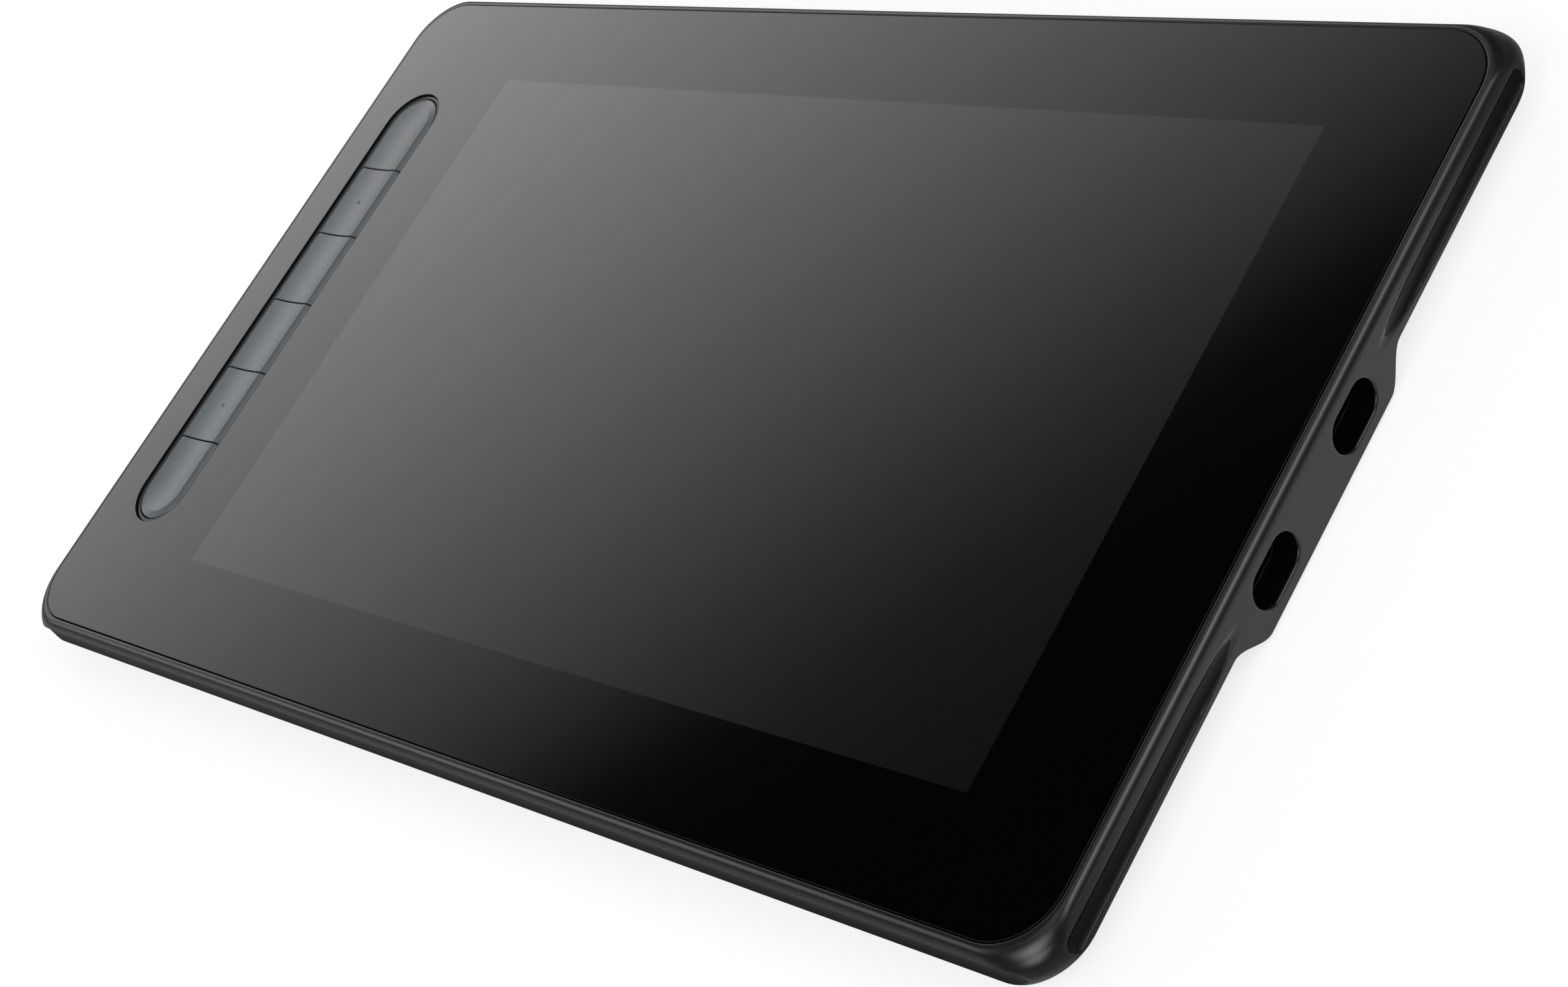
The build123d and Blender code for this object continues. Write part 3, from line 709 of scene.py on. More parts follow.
def copper_tracks() -> bpy.types.NodeTree:
    """Mask of the tracks under a circuit board's solder mask.

    Returns:
        The node group.
    """
    effect = Effect("copper_tracks", {"Track Scale": 420.0}, ("Mask",))
    cells = effect.tree.nodes.new("ShaderNodeTexVoronoi")
    cells.distance = "CHEBYCHEV"
    cells.feature = "F1"
    effect.link(effect.where, cells.inputs["Vector"])
    effect.link(effect.inputs["Track Scale"], cells.inputs["Scale"])
    bands = effect.math("MULTIPLY", cells.outputs["Distance"], TRACK_BANDS)
    effect.link(effect.math("GREATER_THAN", effect.math("PINGPONG", bands, TRACK_FOLD), TRACK_EDGE),
                effect.outputs["Mask"])
    return effect.tree


EFFECTS: dict[str, Callable[[], bpy.types.NodeTree]] = {
    "moulded_grain": moulded_grain,
    "edge_wear": edge_wear,
    "handling": handling,
    "drawn_streaks": drawn_streaks,
    "copper_tracks": copper_tracks,
}


class Dresser:
    """Builds one material round a Principled shader."""

    def __init__(self, name: str) -> None:
        """Starts a material with its shader and output.

        Args:
            name: The material's name.
        """
        self.material, surface = bare_material(name)
        self.tree = self.material.node_tree
        self.shader = self.tree.nodes.new("ShaderNodeBsdfPrincipled")
        self.tree.links.new(self.shader.outputs["BSDF"], surface)

    def plain(self, **values: float) -> None:
        """Sets sockets that are the same all over the surface; underscores stand for spaces."""
        for label, value in values.items():
            self.shader.inputs[label.replace("_", " ")].default_value = value

    def effect(self, name: str, **values: float) -> bpy.types.Node:
        """Places a shared effect with its own values.

        Args:
            name: The effect's name.
            values: Values of its inputs; underscores stand for spaces.

        Returns:
            The group node.
        """
        node = self.tree.nodes.new("ShaderNodeGroup")
        node.node_tree = bpy.data.node_groups.get(name) or EFFECTS[name]()
        for label, value in values.items():
            node.inputs[label.replace("_", " ")].default_value = value
        return node

    def feed_tone(self, source: Tone, target: bpy.types.NodeSocket) -> None:
        """Links a colour socket to a target, or sets the target to a plain colour."""
        feed(self.tree, source if isinstance(source, bpy.types.NodeSocket) else (*source, 1.0), target)

    def blend(self, mask: Value, first: Tone, second: Tone) -> bpy.types.NodeSocket:
        """Mixes two colours.

        Args:
            mask: How much of the second one shows.
            first: A socket or a colour.
            second: A socket or a colour.

        Returns:
            The mixed colour's socket.
        """
        mix = self.tree.nodes.new("ShaderNodeMix")
        mix.data_type = "RGBA"
        feed(self.tree, mask, mix.inputs["Factor"])
        self.feed_tone(first, mix.inputs["A"])
        self.feed_tone(second, mix.inputs["B"])
        return mix.outputs["Result"]

    def mix_value(self, mask: Value, first: Value, second: Value) -> bpy.types.NodeSocket:
        """Mixes two numbers.

        Args:
            mask: How much of the second one counts.
            first: A socket or a number.
            second: A socket or a number.

        Returns:
            The mixed number's socket.
        """
        mix = self.tree.nodes.new("ShaderNodeMix")
        mix.data_type = "FLOAT"
        for source, label in ((mask, "Factor"), (first, "A"), (second, "B")):
            feed(self.tree, source, mix.inputs[label])
        return mix.outputs["Result"]

    def math(self, operation: str, first: Value, second: Value | None = None,
             clamp: bool = False) -> bpy.types.NodeSocket:
        """Adds a Math node."""
        return add_math(self.tree, operation, first, second, clamp)

    def bump(self, height: bpy.types.NodeSocket, distance: float, strength: float = 1.0) -> None:
        """Feeds a height to the shader's normal.

        Args:
            height: The height's socket.
            distance: How high a height of 1 stands, in metres.
            strength: How much it counts.
        """
        node = self.tree.nodes.new("ShaderNodeBump")
        node.inputs["Distance"].default_value = distance
        node.inputs["Strength"].default_value = strength
        self.tree.links.new(height, node.inputs["Height"])
        self.tree.links.new(node.outputs["Normal"], self.shader.inputs["Normal"])

    def colour(self, source: Tone) -> None:
        """Feeds the base colour."""
        self.feed_tone(source, self.shader.inputs["Base Color"])

    def roughness(self, source: Value) -> None:
        """Feeds the roughness."""
        feed(self.tree, source, self.shader.inputs["Roughness"])

    def coat(self, source: Value) -> None:
        """Feeds the weight of the clear coat."""
        feed(self.tree, source, self.shader.inputs["Coat Weight"])


def scaled(tone: Colour, factor: float) -> Colour:
    """A tone made lighter or darker."""
    return tuple(channel * factor for channel in tone)


# Finishes
@dataclass(frozen=True)
class MouldedPlastic:
    """Satin moulded plastic with eroded grain, worn edges and faint smears."""

    name: str
    tone: Colour
    roughness: float = 0.42
    specular: float = 0.5
    refraction: float = 1.5
    grain_scale: float = 2600.0
    grain_height: float = 0.000004
    worn_lift: float = 1.5
    worn_polish: float = 0.2
    wear: float = 0.35
    drift: float = 0.10
    smear: float = 0.05

    def build(self) -> bpy.types.Material:
        """Makes the material.

        Returns:
            The material.
        """
        dresser = Dresser(self.name)
        grain = dresser.effect("moulded_grain", Grain_Scale=self.grain_scale)
        worn = dresser.effect("edge_wear").outputs["Mask"]
        smear = dresser.effect("handling", Amount=self.smear).outputs["Roughness Change"]
        base = dresser.blend(grain.outputs["Drift"], scaled(self.tone, 1.0 - self.drift),
                             scaled(self.tone, 1.0 + self.drift))
        rubbed = scaled(self.tone, self.worn_lift)
        dresser.colour(dresser.blend(dresser.math("MULTIPLY", worn, self.wear), base, rubbed))
        polish = dresser.math("MULTIPLY", worn, self.wear * self.worn_polish)
        dresser.roughness(dresser.math("SUBTRACT", dresser.math("ADD", smear, self.roughness), polish))
        dresser.plain(Specular_IOR_Level=self.specular, IOR=self.refraction)
        dresser.bump(grain.outputs["Height"], self.grain_height)
        return dresser.material


@dataclass(frozen=True)
class BondedGlass:
    """Etched cover glass, black printed behind its border, bonded to the dark panel in the middle."""

    name: str
    border: Colour = (0.0008, 0.0008, 0.0009)
    panel: Colour = (0.0020, 0.0020, 0.0021)
    border_roughness: float = 0.10
    panel_roughness: float = 0.18
    panel_coat: float = 0.22
    coat_roughness: float = 0.16
    refraction: float = 1.5
    specular: float = 0.5
    edge_softness: float = 0.00006
    etch_scale: float = 9000.0
    etch_height: float = 0.0000003
    smear: float = 0.03
    smear_scale: float = 9.0

    def panel_mask(self, dresser: Dresser) -> bpy.types.NodeSocket:
        """Mask of the picture area, from Object coordinates.

        Args:
            dresser: The material's dresser.

        Returns:
            The mask's socket.
        """
        x, y = object_axes(dresser.tree)
        from_middle = dresser.math("ABSOLUTE", dresser.math("SUBTRACT", x, LAYOUT.screen_x * METRES))
        inside_x = dresser.math("SUBTRACT", LAYOUT.screen_length * METRES / 2, from_middle)
        inside_y = dresser.math("SUBTRACT", LAYOUT.screen_width * METRES / 2, dresser.math("ABSOLUTE", y))
        inside = dresser.math("MINIMUM", inside_x, inside_y)
        return dresser.math("DIVIDE", inside, self.edge_softness, clamp=True)

    def build(self) -> bpy.types.Material:
        """Makes the material.

        Returns:
            The material.
        """
        dresser = Dresser(self.name)
        mask = self.panel_mask(dresser)
        grain = dresser.effect("moulded_grain", Grain_Scale=self.etch_scale)
        smear = dresser.effect("handling", Amount=self.smear, Smear_Scale=self.smear_scale)
        dresser.colour(dresser.blend(mask, self.border, self.panel))
        base = dresser.mix_value(mask, self.border_roughness, self.panel_roughness)
        dresser.roughness(dresser.math("ADD", smear.outputs["Roughness Change"], base))
        dresser.plain(IOR=self.refraction, Specular_IOR_Level=self.specular,
                      Coat_Roughness=self.coat_roughness, Coat_IOR=self.refraction)
        dresser.coat(dresser.math("MULTIPLY", mask, self.panel_coat))
        dresser.bump(grain.outputs["Height"], self.etch_height)
        return dresser.material


@dataclass(frozen=True)
class SheetMetal:
    """Rolled or drawn metal with fine streaks."""

    name: str
    tone: Colour
    roughness: float = 0.34
    streak_height: float = 0.000003
    streak_share: float = 0.16
    worn_lift: float = 1.25

    def build(self) -> bpy.types.Material:
        """Makes the material.

        Returns:
            The material.
        """
        dresser = Dresser(self.name)
        streaks = dresser.effect("drawn_streaks").outputs["Height"]
        worn = dresser.effect("edge_wear").outputs["Mask"]
        dresser.colour(dresser.blend(worn, self.tone, scaled(self.tone, self.worn_lift)))
        dresser.roughness(dresser.math("ADD", dresser.math("MULTIPLY", streaks, self.streak_share),
                                       self.roughness - self.streak_share / 2))
        dresser.plain(Metallic=1.0)
        dresser.bump(streaks, self.streak_height)
        return dresser.material


@dataclass(frozen=True)
class CircuitBoard:
    """Solder mask over copper tracks."""

    name: str
    tone: Colour
    track: Colour
    mask_roughness: float = 0.38
    track_roughness: float = 0.30
    track_height: float = 0.00002
    track_strength: float = 0.4

    def build(self) -> bpy.types.Material:
        """Makes the material.

        Returns:
            The material.
        """
        dresser = Dresser(self.name)
        tracks = dresser.effect("copper_tracks").outputs["Mask"]
        dresser.colour(dresser.blend(tracks, self.tone, self.track))
        dresser.roughness(dresser.mix_value(tracks, self.mask_roughness, self.track_roughness))
        dresser.bump(tracks, self.track_height, self.track_strength)
        return dresser.material


@dataclass(frozen=True)
class Sheet:
    """Film, foam, tape or clear sheet with a soft drift of tone."""

    name: str
    tone: Colour
    roughness: float
    transmission: float = 0.0
    refraction: float = 1.49
    grain_scale: float = 1800.0
    grain_height: float = 0.000003
    dark_share: float = 0.92

    def build(self) -> bpy.types.Material:
        """Makes the material.

        Returns:
            The material.
        """
        dresser = Dresser(self.name)
        grain = dresser.effect("moulded_grain", Grain_Scale=self.grain_scale)
        dresser.colour(dresser.blend(grain.outputs["Drift"], scaled(self.tone, self.dark_share), self.tone))
        smear = dresser.effect("handling").outputs["Roughness Change"]
        dresser.roughness(dresser.math("ADD", smear, self.roughness))
        dresser.plain(Transmission_Weight=self.transmission, IOR=self.refraction)
        dresser.bump(grain.outputs["Height"], self.grain_height)
        return dresser.material


HOUSING = MouldedPlastic("housing_plastic", (0.0084, 0.0090, 0.0098), roughness=0.25, specular=0.4)
# Painted shade: near-black, dull finish for the walls inside the port mouths, where shade falls
PORT_MOUTH_PAINTED_SHADE = MouldedPlastic("port_mouth_painted_shade", (0.0006, 0.0006, 0.0006), roughness=0.85, specular=0.05,
                            wear=0.0)
# Painted shade: darker, duller finish on the floors of the pill grooves and of the side scoops, where shade
# falls
GROOVE_PAINTED_SHADE = MouldedPlastic("groove_painted_shade", (0.0036, 0.0039, 0.0042), roughness=0.36, specular=0.14)
KEYCAP = MouldedPlastic("key_plastic", (0.098, 0.110, 0.118), roughness=0.30, drift=0.05, wear=0.2,
                        worn_lift=1.25)
SIDE_KEY = MouldedPlastic("side_key_plastic", (0.024, 0.025, 0.026), roughness=0.34)
KEY_RING = MouldedPlastic("key_ring_plastic", (0.030, 0.031, 0.032), roughness=0.40, wear=0.1)
RUBBER = MouldedPlastic("foot_rubber", (0.018, 0.018, 0.018), roughness=0.78, specular=0.3,
                        grain_scale=1500.0, grain_height=0.00001, wear=0.15)
GLASS = BondedGlass("bonded_cover_glass")
GLASS_EDGE = MouldedPlastic("ground_glass_edge", (0.002, 0.002, 0.002), roughness=0.55, specular=0.25,
                            wear=0.0)

SLOT_FINISHES = {
    "inner_plastic": MouldedPlastic("inner_plastic", (0.06, 0.06, 0.064), roughness=0.5),
    "black_film": Sheet("printed_border", (0.006, 0.006, 0.006), 0.3),
    "adhesive": Sheet("adhesive_tape", (0.05, 0.05, 0.05), 0.7),
    "optical_bond": Sheet("optical_bond", (0.9, 0.9, 0.9), 0.05, transmission=1.0),
    "lcd_panel": Sheet("panel_polarizer", (0.012, 0.012, 0.014), 0.22),
    "white_sheet": Sheet("white_film", (0.82, 0.82, 0.80), 0.55),
    "light_guide": Sheet("clear_acrylic", (0.88, 0.91, 0.91), 0.08, transmission=1.0),
    "led_bar": Sheet("light_bar", (0.80, 0.76, 0.55), 0.4),
    "tray_metal": SheetMetal("tray_aluminium", (0.70, 0.71, 0.72)),
    "circuit_board": CircuitBoard("solder_mask", (0.010, 0.075, 0.040), (0.020, 0.120, 0.062)),
    "shield_metal": SheetMetal("shield_steel", (0.60, 0.60, 0.61)),
    "foam": Sheet("support_foam", (0.045, 0.045, 0.045), 0.95, grain_height=0.00006),
    "chip": MouldedPlastic("chip_resin", (0.022, 0.022, 0.022), roughness=0.55),
    "connector": MouldedPlastic("connector_nylon", (0.70, 0.66, 0.56), roughness=0.45),
    "port_metal": SheetMetal("port_steel", (0.035, 0.035, 0.036), roughness=0.45),
    "flex": Sheet("polyimide_flex", (0.36, 0.16, 0.03), 0.35),
    "key_frame": KEY_RING,
    "switch_body": MouldedPlastic("switch_resin", (0.03, 0.03, 0.03), roughness=0.5),
    "screw_steel": SheetMetal("black_screw_steel", (0.10, 0.10, 0.105), roughness=0.38),
}


# Rear housing
class HousingFace(Enum):
    """Place of each finish in the housing's list of materials."""

    PLASTIC = 0
    # The second and third finishes are painted shade: near black in the port tunnels, darker on the groove
    # and scoop floors
    PORT_PAINTED_SHADE = 1
    HOLLOW_PAINTED_SHADE = 2


@dataclass
class Housing:
    """Moulded tub: swollen rim, cut end facets with pill grooves, scooped sides and raised underside."""

    # How finely the outlines are divided: start, stop and parts of each span
    end_spans: tuple[tuple[float, float, int], ...] = ((0.0, 20.5, 6), (20.5, 30.5, 20), (30.5, 46.0, 16))
    arc_spans: tuple[tuple[float, float, int], ...] = ((0.0, 22.0, 18), (22.0, 90.0, 22))
    side_spans: tuple[tuple[float, float, int], ...] = ((0.0, 100.0, 8),)
    end_free: int = 44
    side_free: int = 3

    # Walls and inner floors
    seat_depth: float = 1.5
    floor_depth: float = 6.5
    side_wall: float = 2.8
    wall: float = 1.6
    recess_left: float = 38.0
    recess_corner: float = 6.0
    bury: float = 0.4
    overrun: float = 1.0

    # Lip beside the glass: its first depth, then outset, corner and depth of each row
    lip_depth: float = 0.34
    lip_rows: tuple[tuple[float, float, float], ...] = (
        (0.21, 11.52, 0.28), (0.24, 11.56, 0.225), (0.30, 11.62, 0.18), (0.38, 11.68, 0.157),
        (0.50, 11.72, 0.151))

    # Bead from the crown down to the crease
    crown_outset: float = 0.68
    crown_depth: float = 0.15
    bead_sweep: float = 62.0
    bead_steps: int = 16
    bead_corner: float = 11.75
    bead_corner_drop: float = 1.55
    crease_outset: float = 2.2
    crease_depth: float = 1.75

    # Swollen rim under the crease
    widest: float = 2.65
    widest_depth: float = 4.2
    rim_depth: float = 8.1
    rim_corner: float = 8.5
    upper_corner_growth: float = 1.7
    low_corner_growth: float = 3.2
    growth_power: float = 1.5
    lower_draw: float = 0.20
    upper_depths: tuple[float, ...] = (1.75, 1.85, 1.95, 2.05, 2.15, 2.22, 2.30, 2.42, 2.58, 2.78, 2.94)
    groove_rows: int = 23
    groove_row_step: float = 0.186
    lower_depths: tuple[float, ...] = (7.16, 7.24, 7.34)
    lower_edge: tuple[Pair, ...] = (
        (2.485, 7.48), (2.46, 7.60), (2.38, 7.76), (2.24, 7.91), (2.04, 8.02), (1.80, 8.08))
    flat_outset: float = 1.5

    # Pill grooves in the end facets, scoops in the long sides
    groove_middle_depth: float = 5.0
    groove_width: float = 4.1
    groove_depth: float = 1.0
    groove_start_y: float = 77.67
    groove_straight_end_y: float = 45.05
    groove_fade: float = 20.0
    groove_reach: float = 1.2
    groove_blend: float = 0.14
    # Groove floors cut deeper than this get painted shade
    groove_shade_from: float = 0.22
    scoop_chord: float = 5.2
    scoop_depth: float = 0.75
    # Faces this near the scoop's surface get painted shade
    scoop_tolerance: float = 0.012
    facet_margin: float = 0.5
    cut_margin: float = 0.8
    edge_blend: float = 0.09

    # Raised underside and the port shelf in it
    belly_rise: float = 4.8
    belly_inset: float = 12.0
    belly_run: float = 8.0
    belly_corner: float = 18.0
    belly_steps: int = 14
    flat_shares: tuple[float, ...] = (0.08, 0.35, 0.7, 1.0)
    shelf_half: float = 29.4
    shelf_run: float = 8.0
    shelf_start_depth: float = 7.25
    shelf_start_run: float = 0.35
    shelf_blend: float = 0.5
    shelf_room_left: float = 122.0

    # Port mouths and the block behind them
    port_y: float = 14.0
    port_length: float = 12.6
    port_height: float = 7.1
    port_depth: float = 7.07
    port_face_x: float = 143.9
    port_floor_x: float = 145.4
    port_lip: float = 0.45
    port_lip_steps: int = 6
    slot_length: float = 9.24
    slot_height: float = 3.56
    port_block_half: float = 22.5
    port_block_top: float = 3.07
    port_block_wall: float = 1.5
    shade_start: float = 0.02

    # Ribs, side key holes and foot pockets
    rib_count: int = 4
    rib_half: float = 0.7
    rib_end_x: float = 60.0
    key_hole_gap: float = 0.4
    key_hole_y: float = 82.0
    key_hole_run: float = 6.0
    pocket_gap: float = 0.2
    pocket_bottom: float = 14.0
    crease_angle: float = 32.0

    @property
    def flat_end(self) -> float:
        """Outset at which the flat border of the underside ends and the slope begins."""
        return LAYOUT.rim_width - self.belly_inset

    @property
    def inner_floor(self) -> float:
        """Depth of the floor inside the raised middle."""
        return self.rim_depth + self.belly_rise - self.wall

    @property
    def recess_start(self) -> float:
        """Left end of the room inside the raised middle."""
        return -LAYOUT.facet_x + self.recess_left

    @property
    def recess_half(self) -> float:
        """Half the width of the room inside the raised middle."""
        return LAYOUT.side_y - self.belly_inset - self.belly_run - self.wall

    def plan(self) -> StationPlan:
        """Stations: dense where the ends have grooves and the shelf's curves.

        Returns:
            The station plan.
        """
        return StationPlan(end_fixed=divided(*self.end_spans), end_free=self.end_free,
                           arc=divided(*self.arc_spans), long_free=self.side_free,
                           long_fixed=divided(*self.side_spans))

    def rim_rows(self) -> list[tuple[float, float, float]]:
        """Rows of the rim, from the seat to the underside.

        Returns:
            Outset from the glass, corner radius and depth of each row.
        """
        wall_corner = LAYOUT.glass_corner + LAYOUT.glass_gap
        rows = [(LAYOUT.glass_gap, wall_corner, depth) for depth in (self.seat_depth, self.lip_depth)]
        rows += self.lip_rows
        last = math.radians(self.bead_sweep)
        reach = (self.crease_outset - self.crown_outset) / math.sin(last)
        drop = (self.crease_depth - self.crown_depth) / (1.0 - math.cos(last))
        for index in range(self.bead_steps):
            share = index / self.bead_steps
            rows.append((self.crown_outset + reach * math.sin(last * share),
                         self.bead_corner - self.bead_corner_drop * share ** 2,
                         self.crown_depth + drop * (1.0 - math.cos(last * share))))
        middle = self.groove_rows // 2
        depths = [*self.upper_depths]
        depths += [self.groove_middle_depth + (index - middle) * self.groove_row_step
                   for index in range(self.groove_rows)]
        depths += self.lower_depths
        rows += [(self.outset(depth), self.corner(depth), depth) for depth in depths]
        edge = [*self.lower_edge, (self.flat_outset, self.rim_depth)]
        rows += [(outset, self.corner(depth), depth) for outset, depth in edge]
        return rows

    def outset(self, depth: float) -> float:
        """How far the swollen rim stands out of the glass outline.

        Args:
            depth: The depth.

        Returns:
            The outset.
        """
        if depth < self.widest_depth:
            share = (self.widest_depth - depth) / (self.widest_depth - self.crease_depth)
            return self.widest - (self.widest - self.crease_outset) * share * share
        share = (depth - self.widest_depth) / (self.rim_depth - self.widest_depth)
        return self.widest - self.lower_draw * share * share

    def corner(self, depth: float) -> float:
        """Corner radius of the rim at a depth: least where it is widest, and larger above."""
        above = max(self.widest_depth - depth, 0.0) / (self.widest_depth - self.crease_depth)
        return self.rim_corner + self.upper_corner_growth * above ** 2

    def right_growth(self, depth: float) -> float:
        """How much larger the right end's corners are at a depth below the widest row."""
        below = max(depth - self.widest_depth, 0.0) / (self.rim_depth - self.widest_depth)
        return self.low_corner_growth * below ** self.growth_power

    def groove(self, y: float, depth: float) -> float:
        """How deep a pill groove is cut into an end facet.

        Args:
            y: Distance of the place across.
            depth: Its depth.

        Returns:
            The depth of the cut, from the facet inwards.
        """
        radius = chord_radius(self.groove_width, self.groove_depth)
        fade_radius = chord_radius(self.groove_fade * 2, self.groove_depth)
        beyond = max(abs(y) - self.groove_start_y, 0.0)
        faded = max(self.groove_straight_end_y - abs(y), 0.0)
        if faded >= self.groove_fade * self.groove_reach:
            return 0.0
        stand = radius - self.groove_depth + fade_radius - math.sqrt(fade_radius ** 2 - faded ** 2)
        reach = radius ** 2 - (depth - self.groove_middle_depth) ** 2 - beyond ** 2
        return smooth_max(math.sqrt(max(reach, 0.0)) - stand, 0.0, self.groove_blend)

    def scoop(self, depth: float) -> float:
        """Where the scooped surface of a long side is.

        Args:
            depth: The depth.

        Returns:
            Its distance from the middle.
        """
        radius = chord_radius(self.scoop_chord, self.scoop_depth)
        reach = radius ** 2 - (depth - LAYOUT.side_key_depth) ** 2
        return LAYOUT.scoop_floor_y + radius - math.sqrt(max(reach, 0.0))

    def is_in_painted_shade(self, place: Vector) -> bool:
        """Whether a place on the rim lies on the floor of a pill groove or of a scoop, which gets painted
        shade.

        Args:
            place: The place.

        Returns:
            True on such a floor, whose faces get the darker finish of painted shade.
        """
        depth = LAYOUT.level(0) - place.z
        if abs(place.x) > LAYOUT.facet_x - self.groove_depth - self.facet_margin:
            return self.groove(place.y, depth) > self.groove_shade_from
        on_chord = abs(depth - LAYOUT.side_key_depth) < self.scoop_chord / 2
        return on_chord and abs(abs(place.y) - self.scoop(depth)) < self.scoop_tolerance

    def shelf(self, y: float) -> float:
        """Depth of the port shelf's underside at a distance across."""
        return self.rim_depth + self.belly_rise * ease((self.shelf_half - abs(y)) / self.shelf_run)

    def rim_place(self, plan: StationPlan, row: tuple[float, float, float]) -> Placer:
        """Placer for one row of the rim, cut by facets, grooves and scoops.

        Args:
            plan: The housing's stations.
            row: Outset, corner radius and depth of the row.

        Returns:
            What gives the row's point for a station.
        """
        outset, corner, depth = row
        left = around_glass(outset, corner, depth)
        right = around_glass(outset, corner + self.right_growth(depth), depth)

        def place(station: Station) -> Vector:
            """Point of this row.

            Args:
                station: The station.

            Returns:
                The point.
            """
            point = plan.place(station, right if station.along > 0 else left)
            x, y = abs(point.x), abs(point.y)
            if depth > self.crease_depth - self.cut_margin:
                x = smooth_min(x, LAYOUT.facet_x - self.groove(y, depth), self.edge_blend)
                y = smooth_min(y, self.scoop(depth), self.edge_blend)
            point.x = math.copysign(x, point.x)
            point.y = math.copysign(y, point.y)
            if point.x > 0 and station.run is Run.END:
                share = clamped((depth - self.shelf_start_depth) / self.shelf_start_run)
                point.z -= (self.shelf(point.y) - self.rim_depth) * share
            return point

        return place

    def underside_place(self, plan: StationPlan, outset: float, corner: float, rise: float) -> Placer:
        """Placer for one row of the underside, where the port shelf meets the raised middle.

        Args:
            plan: The housing's stations.
            outset: The row's outset from the glass.
            corner: Its corner radius at the left end.
            rise: Share of the middle's rise that it has reached.

        Returns:
            What gives the row's point for a station.
        """
        depth = self.rim_depth + rise * self.belly_rise
        kept = clamped((outset - self.flat_end) / (self.flat_outset - self.flat_end))
        left = around_glass(outset, corner, depth)
        right = around_glass(outset, corner + self.low_corner_growth * kept, depth)

        def place(station: Station) -> Vector:
            """Point of this row.

            Args:
                station: The station.

            Returns:
                The point.
            """
            point = plan.place(station, right if station.along > 0 else left)
            if point.x > 0 and station.run is Run.END:
                shelf = self.shelf(point.y)
                lowest = self.rim_depth + self.belly_rise
                point.z = LAYOUT.level(min(smooth_max(depth, shelf, self.shelf_blend), lowest))
                if shelf <= self.rim_depth:
                    point.z = LAYOUT.level(depth)
            return point

        return place

    def inner_outlines(self) -> list[Outline]:
        """Outlines of the tub's inside, from the lowest floor up to the seat.

        Returns:
            The outlines.
        """
        right = LAYOUT.facet_x - self.belly_inset - self.belly_run - self.wall
        cavity = LAYOUT.rim_width - self.side_wall
        recess = [Outline(right - self.recess_start, self.recess_half * 2, self.recess_corner, depth,
                          (self.recess_start + right) / 2) for depth in (self.inner_floor, self.floor_depth)]
        return recess + [around_glass(cavity, LAYOUT.glass_corner + cavity, depth)
                         for depth in (self.floor_depth, self.seat_depth)]

    def underside_places(self, plan: StationPlan) -> list[Placer]:
        """Placers of the underside: the flat border, then the slope to the raised middle.

        Args:
            plan: The housing's stations.

        Returns:
            The placers in order.
        """
        rim_corner = self.corner(self.rim_depth)
        placers = []
        for share in self.flat_shares:
            outset = self.flat_outset + (self.flat_end - self.flat_outset) * share
            corner = rim_corner + (self.belly_corner - rim_corner) * share
            placers.append(self.underside_place(plan, outset, corner, 0.0))
        for index in range(1, self.belly_steps + 1):
            share = index / self.belly_steps
            placers.append(self.underside_place(plan, self.flat_end - self.belly_run * share,
                                                self.belly_corner - self.belly_run * share, ease(share)))
        return placers

    def shell(self) -> bpy.types.Object:
        """Skins the tub from its recess over the rim to the raised underside.

        Returns:
            The tub, before its openings are cut.
        """
        plan = self.plan()
        sculptor = Sculptor(plan)
        placers = [plan.placer(outline) for outline in self.inner_outlines()]
        placers += [self.rim_place(plan, row) for row in self.rim_rows()]
        sculptor.along_places(placers + self.underside_places(plan))
        # Faces on the groove and scoop floors get a darker finish: painted shade in the hollows
        for face in sculptor.mesh.faces:
            hollow = self.is_in_painted_shade(face.calc_center_median())
            face.material_index = (HousingFace.HOLLOW_PAINTED_SHADE if hollow else HousingFace.PLASTIC).value
        shell = sculptor.finish("housing_shell", HOUSING.build())
        # Extra finishes, both painted shade: near black for the port tunnels, darker for the hollows
        for finish in (PORT_MOUTH_PAINTED_SHADE, GROOVE_PAINTED_SHADE):
            shell.data.materials.append(finish.build())
        return shell

    def additions(self) -> bpy.types.Object:
        """Block behind the port mouths, and ribs, to be joined to the tub inside.

        Returns:
            The shapes as one object.
        """
        sculptor = Sculptor()
        bottom = self.inner_floor + self.bury
        half = self.recess_half + self.bury
        sculptor.box((self.port_face_x, LAYOUT.facet_x - self.port_block_wall),
                     (-self.port_block_half, self.port_block_half), (self.port_block_top, bottom))
        for index in range(1, self.rib_count + 1):
            x = self.recess_start + (self.rib_end_x - self.recess_start) * index / (self.rib_count + 1)
            sculptor.box((x - self.rib_half, x + self.rib_half), (-half, half), (self.floor_depth, bottom))
        return sculptor.finish("housing_additions")

    def shelf_room(self) -> bpy.types.Object:
        """Cutter of the board's room inside the port shelf.

        Returns:
            The cutter.
        """
        sculptor = Sculptor()
        half = self.shelf_half - self.shelf_run - self.wall
        sculptor.box((self.shelf_room_left, self.port_face_x), (-half, half),
                     (self.floor_depth - self.overrun, self.inner_floor))
        return sculptor.finish("shelf_room")

    def cutters(self) -> bpy.types.Object:
        """Port tunnels with rounded lips, side key holes, foot pockets and screw seats.

        Returns:
            The cutters as one object.
        """
        sculptor = Sculptor(StationPlan(arc=PILL_ARC))
        for side in (-1, 1):
            self.port_tunnel(sculptor, side * self.port_y)
